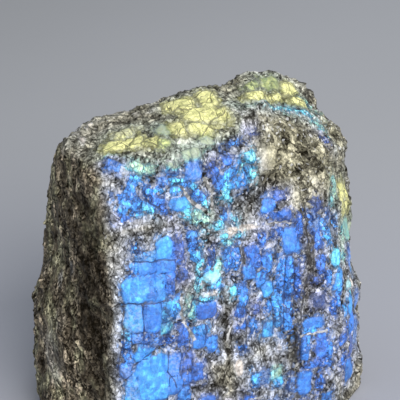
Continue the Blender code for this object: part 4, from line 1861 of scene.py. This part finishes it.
    def vein(self, sheet: Sheet, bed: Bed, ragged: Socket) -> Socket:
        """How strongly the nearest crack or pale thread shows.

        Args:
            sheet: the material's tree.
            bed: the kind of rock that fills it.
            ragged: a fine noise.

        Returns:
            Its strength, from 0 to 1.
        """
        away, side = (sheet.attribute(bed.value + part) for part in ("_away", "_side"))
        offset = sheet.total(sheet.math("ABSOLUTE", side), sheet.swing(ragged, 2.4))
        return sheet.product(sheet.step(offset, *self.vein_rim), sheet.step(away, *self.vein_reach))


@dataclass(frozen=True)
class FloorFinish:
    """A plain, pale grey surface, a little bluer close by, with painted shade that makes it a little
    darker far off to the left.
    """

    close: Colour = (0.446, 0.456, 0.512)
    far: Colour = (0.456, 0.462, 0.486)
    # the painted shade far off to the left
    shaded: Colour = (0.388, 0.392, 0.405)
    mottle_tint: Colour = (0.3, 0.3, 0.31)
    mottle_size: float = 40.0
    mottle: float = 0.06
    depth_way: Size = (0.31, 0.95, 0.0)
    depth_span: tuple[float, float] = (0.0, 200.0)
    corner_way: Size = (-0.6, 0.8, 0.0)
    corner_span: tuple[float, float] = (120.0, 320.0)
    roughness: tuple[float, float] = (0.7, 0.8)

    def build(self) -> bpy.types.Material:
        """Makes the material.

        Returns:
            The material.
        """
        material = bpy.data.materials.new("pale floor")
        material.use_nodes = True
        sheet = Sheet(material.node_tree)
        shader = material.node_tree.nodes["Principled BSDF"]
        place = sheet.node("ShaderNodeTexCoord").outputs["Object"]
        depth = sheet.step(sheet.dot(place, self.depth_way), *(end * MM for end in self.depth_span))
        # Painted shade: the floor turns darker from 120 to 320 mm off towards the back left.
        corner = sheet.step(sheet.dot(place, self.corner_way), *(end * MM for end in self.corner_span))
        colour = sheet.mix(corner, sheet.mix(depth, self.close, self.far), self.shaded)
        mottle = sheet.level(place, self.mottle_size * MM, 3.0)
        colour = sheet.mix(sheet.scaled(mottle, self.mottle), colour, self.mottle_tint)
        smooth, dull = self.roughness
        sheet.feed(shader.inputs["Base Color"], colour)
        sheet.feed(shader.inputs["Roughness"], sheet.scaled(mottle, dull - smooth, smooth))
        return material


@dataclass(frozen=True)
class Softbox:
    """A square lamp that points at the chunk. Azimuth 0 is in front of it, 90 to its right."""

    name: str
    azimuth: float
    elevation: float
    distance: float
    side: float
    power: float
    tint: Colour = (1.0, 1.0, 1.0)


@dataclass
class Studio:
    """The floor, the lamp and the camera."""

    aim: Size = (0.7, 0.0, 60.0)
    azimuth: float = -18.0
    elevation: float = 25.0
    distance: float = 420.0
    width_at_aim: float = 108.0
    sensor: float = 36.0
    floor_side: float = 3000.0
    floor_shift: float = 600.0
    ambient: float = 0.44
    ambient_tint: Colour = (0.86, 0.92, 1.0)
    lamp: Softbox = Softbox("key", 11.0, 32.0, 1400.0, 1150.0, 24.0, (1.0, 0.985, 0.96))

    def build(self) -> None:
        """Sets up the whole studio."""
        self.lay_floor()
        self.set_world()
        self.hang_lamp()
        self.place_camera()
        bpy.context.scene.view_settings.view_transform = "Standard"

    def place_out(self, item: bpy.types.Object, azimuth: float, elevation: float, distance: float) -> None:
        """Puts a lamp or a camera out from the chunk, pointing at it.

        Args:
            item: the lamp or the camera.
            azimuth: the way out, in degrees, where 0 is in front of the chunk and 90 to its right.
            elevation: how steeply the way out rises, in degrees.
            distance: how far out, in millimetres.
        """
        turn, rise = math.radians(azimuth), math.radians(elevation)
        way = Vector((math.sin(turn) * math.cos(rise), -math.cos(turn) * math.cos(rise), math.sin(rise)))
        item.location = (Vector(self.aim) + way * distance) * MM
        item.rotation_euler = way.to_track_quat("Z", "Y").to_euler()
        bpy.context.scene.collection.objects.link(item)

    def lay_floor(self) -> None:
        """Lays the floor, which runs on well past the edges of the view."""
        select_only(None)
        place = (0.0, self.floor_shift * MM, 0.0)
        bpy.ops.mesh.primitive_plane_add(size=self.floor_side * MM, location=place)
        floor = bpy.context.active_object
        floor.name = "floor"
        bpy.ops.object.transform_apply(location=True, rotation=True, scale=True)
        floor.data.materials.append(FloorFinish().build())

    def set_world(self) -> None:
        """Fills the room with an even, faint light."""
        world = bpy.data.worlds.new("room")
        world.use_nodes = True
        backdrop = world.node_tree.nodes["Background"]
        backdrop.inputs["Color"].default_value = (*self.ambient_tint, 1.0)
        backdrop.inputs["Strength"].default_value = self.ambient
        bpy.context.scene.world = world

    def hang_lamp(self) -> None:
        """Hangs the lamp."""
        light = bpy.data.lights.new(self.lamp.name, "AREA")
        light.shape = "SQUARE"
        light.size = self.lamp.side * MM
        light.energy = self.lamp.power
        light.color = self.lamp.tint
        fixture = bpy.data.objects.new(self.lamp.name, light)
        self.place_out(fixture, self.lamp.azimuth, self.lamp.elevation, self.lamp.distance)

    def place_camera(self) -> None:
        """Places the camera, which looks down on the front face from its left."""
        data = bpy.data.cameras.new("camera")
        data.sensor_width = self.sensor
        data.lens = self.sensor * self.distance / self.width_at_aim
        data.clip_start = 0.01
        camera = bpy.data.objects.new("camera", data)
        self.place_out(camera, self.azimuth, self.elevation, self.distance)
        bpy.context.scene.camera = camera


def select_only(item: bpy.types.Object | None) -> None:
    """Makes one object the only selected one and the active one, or deselects everything.

    Args:
        item: the object, or None.
    """
    for other in bpy.context.scene.objects:
        other.select_set(other == item)
    bpy.context.view_layer.objects.active = item


def main() -> None:
    """Builds the chunk's looks around the fixed frame."""
    logging.basicConfig(level=logging.INFO, format="%(name)s: %(message)s")
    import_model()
    stone = Chunk().build()
    stone.data.materials.append(StoneFinish().build())
    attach(stone, "root")
    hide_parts(NODE)
    log.info("stone: %d faces", len(stone.data.polygons))
    Studio().build()


if __name__ == "__main__":
    main()
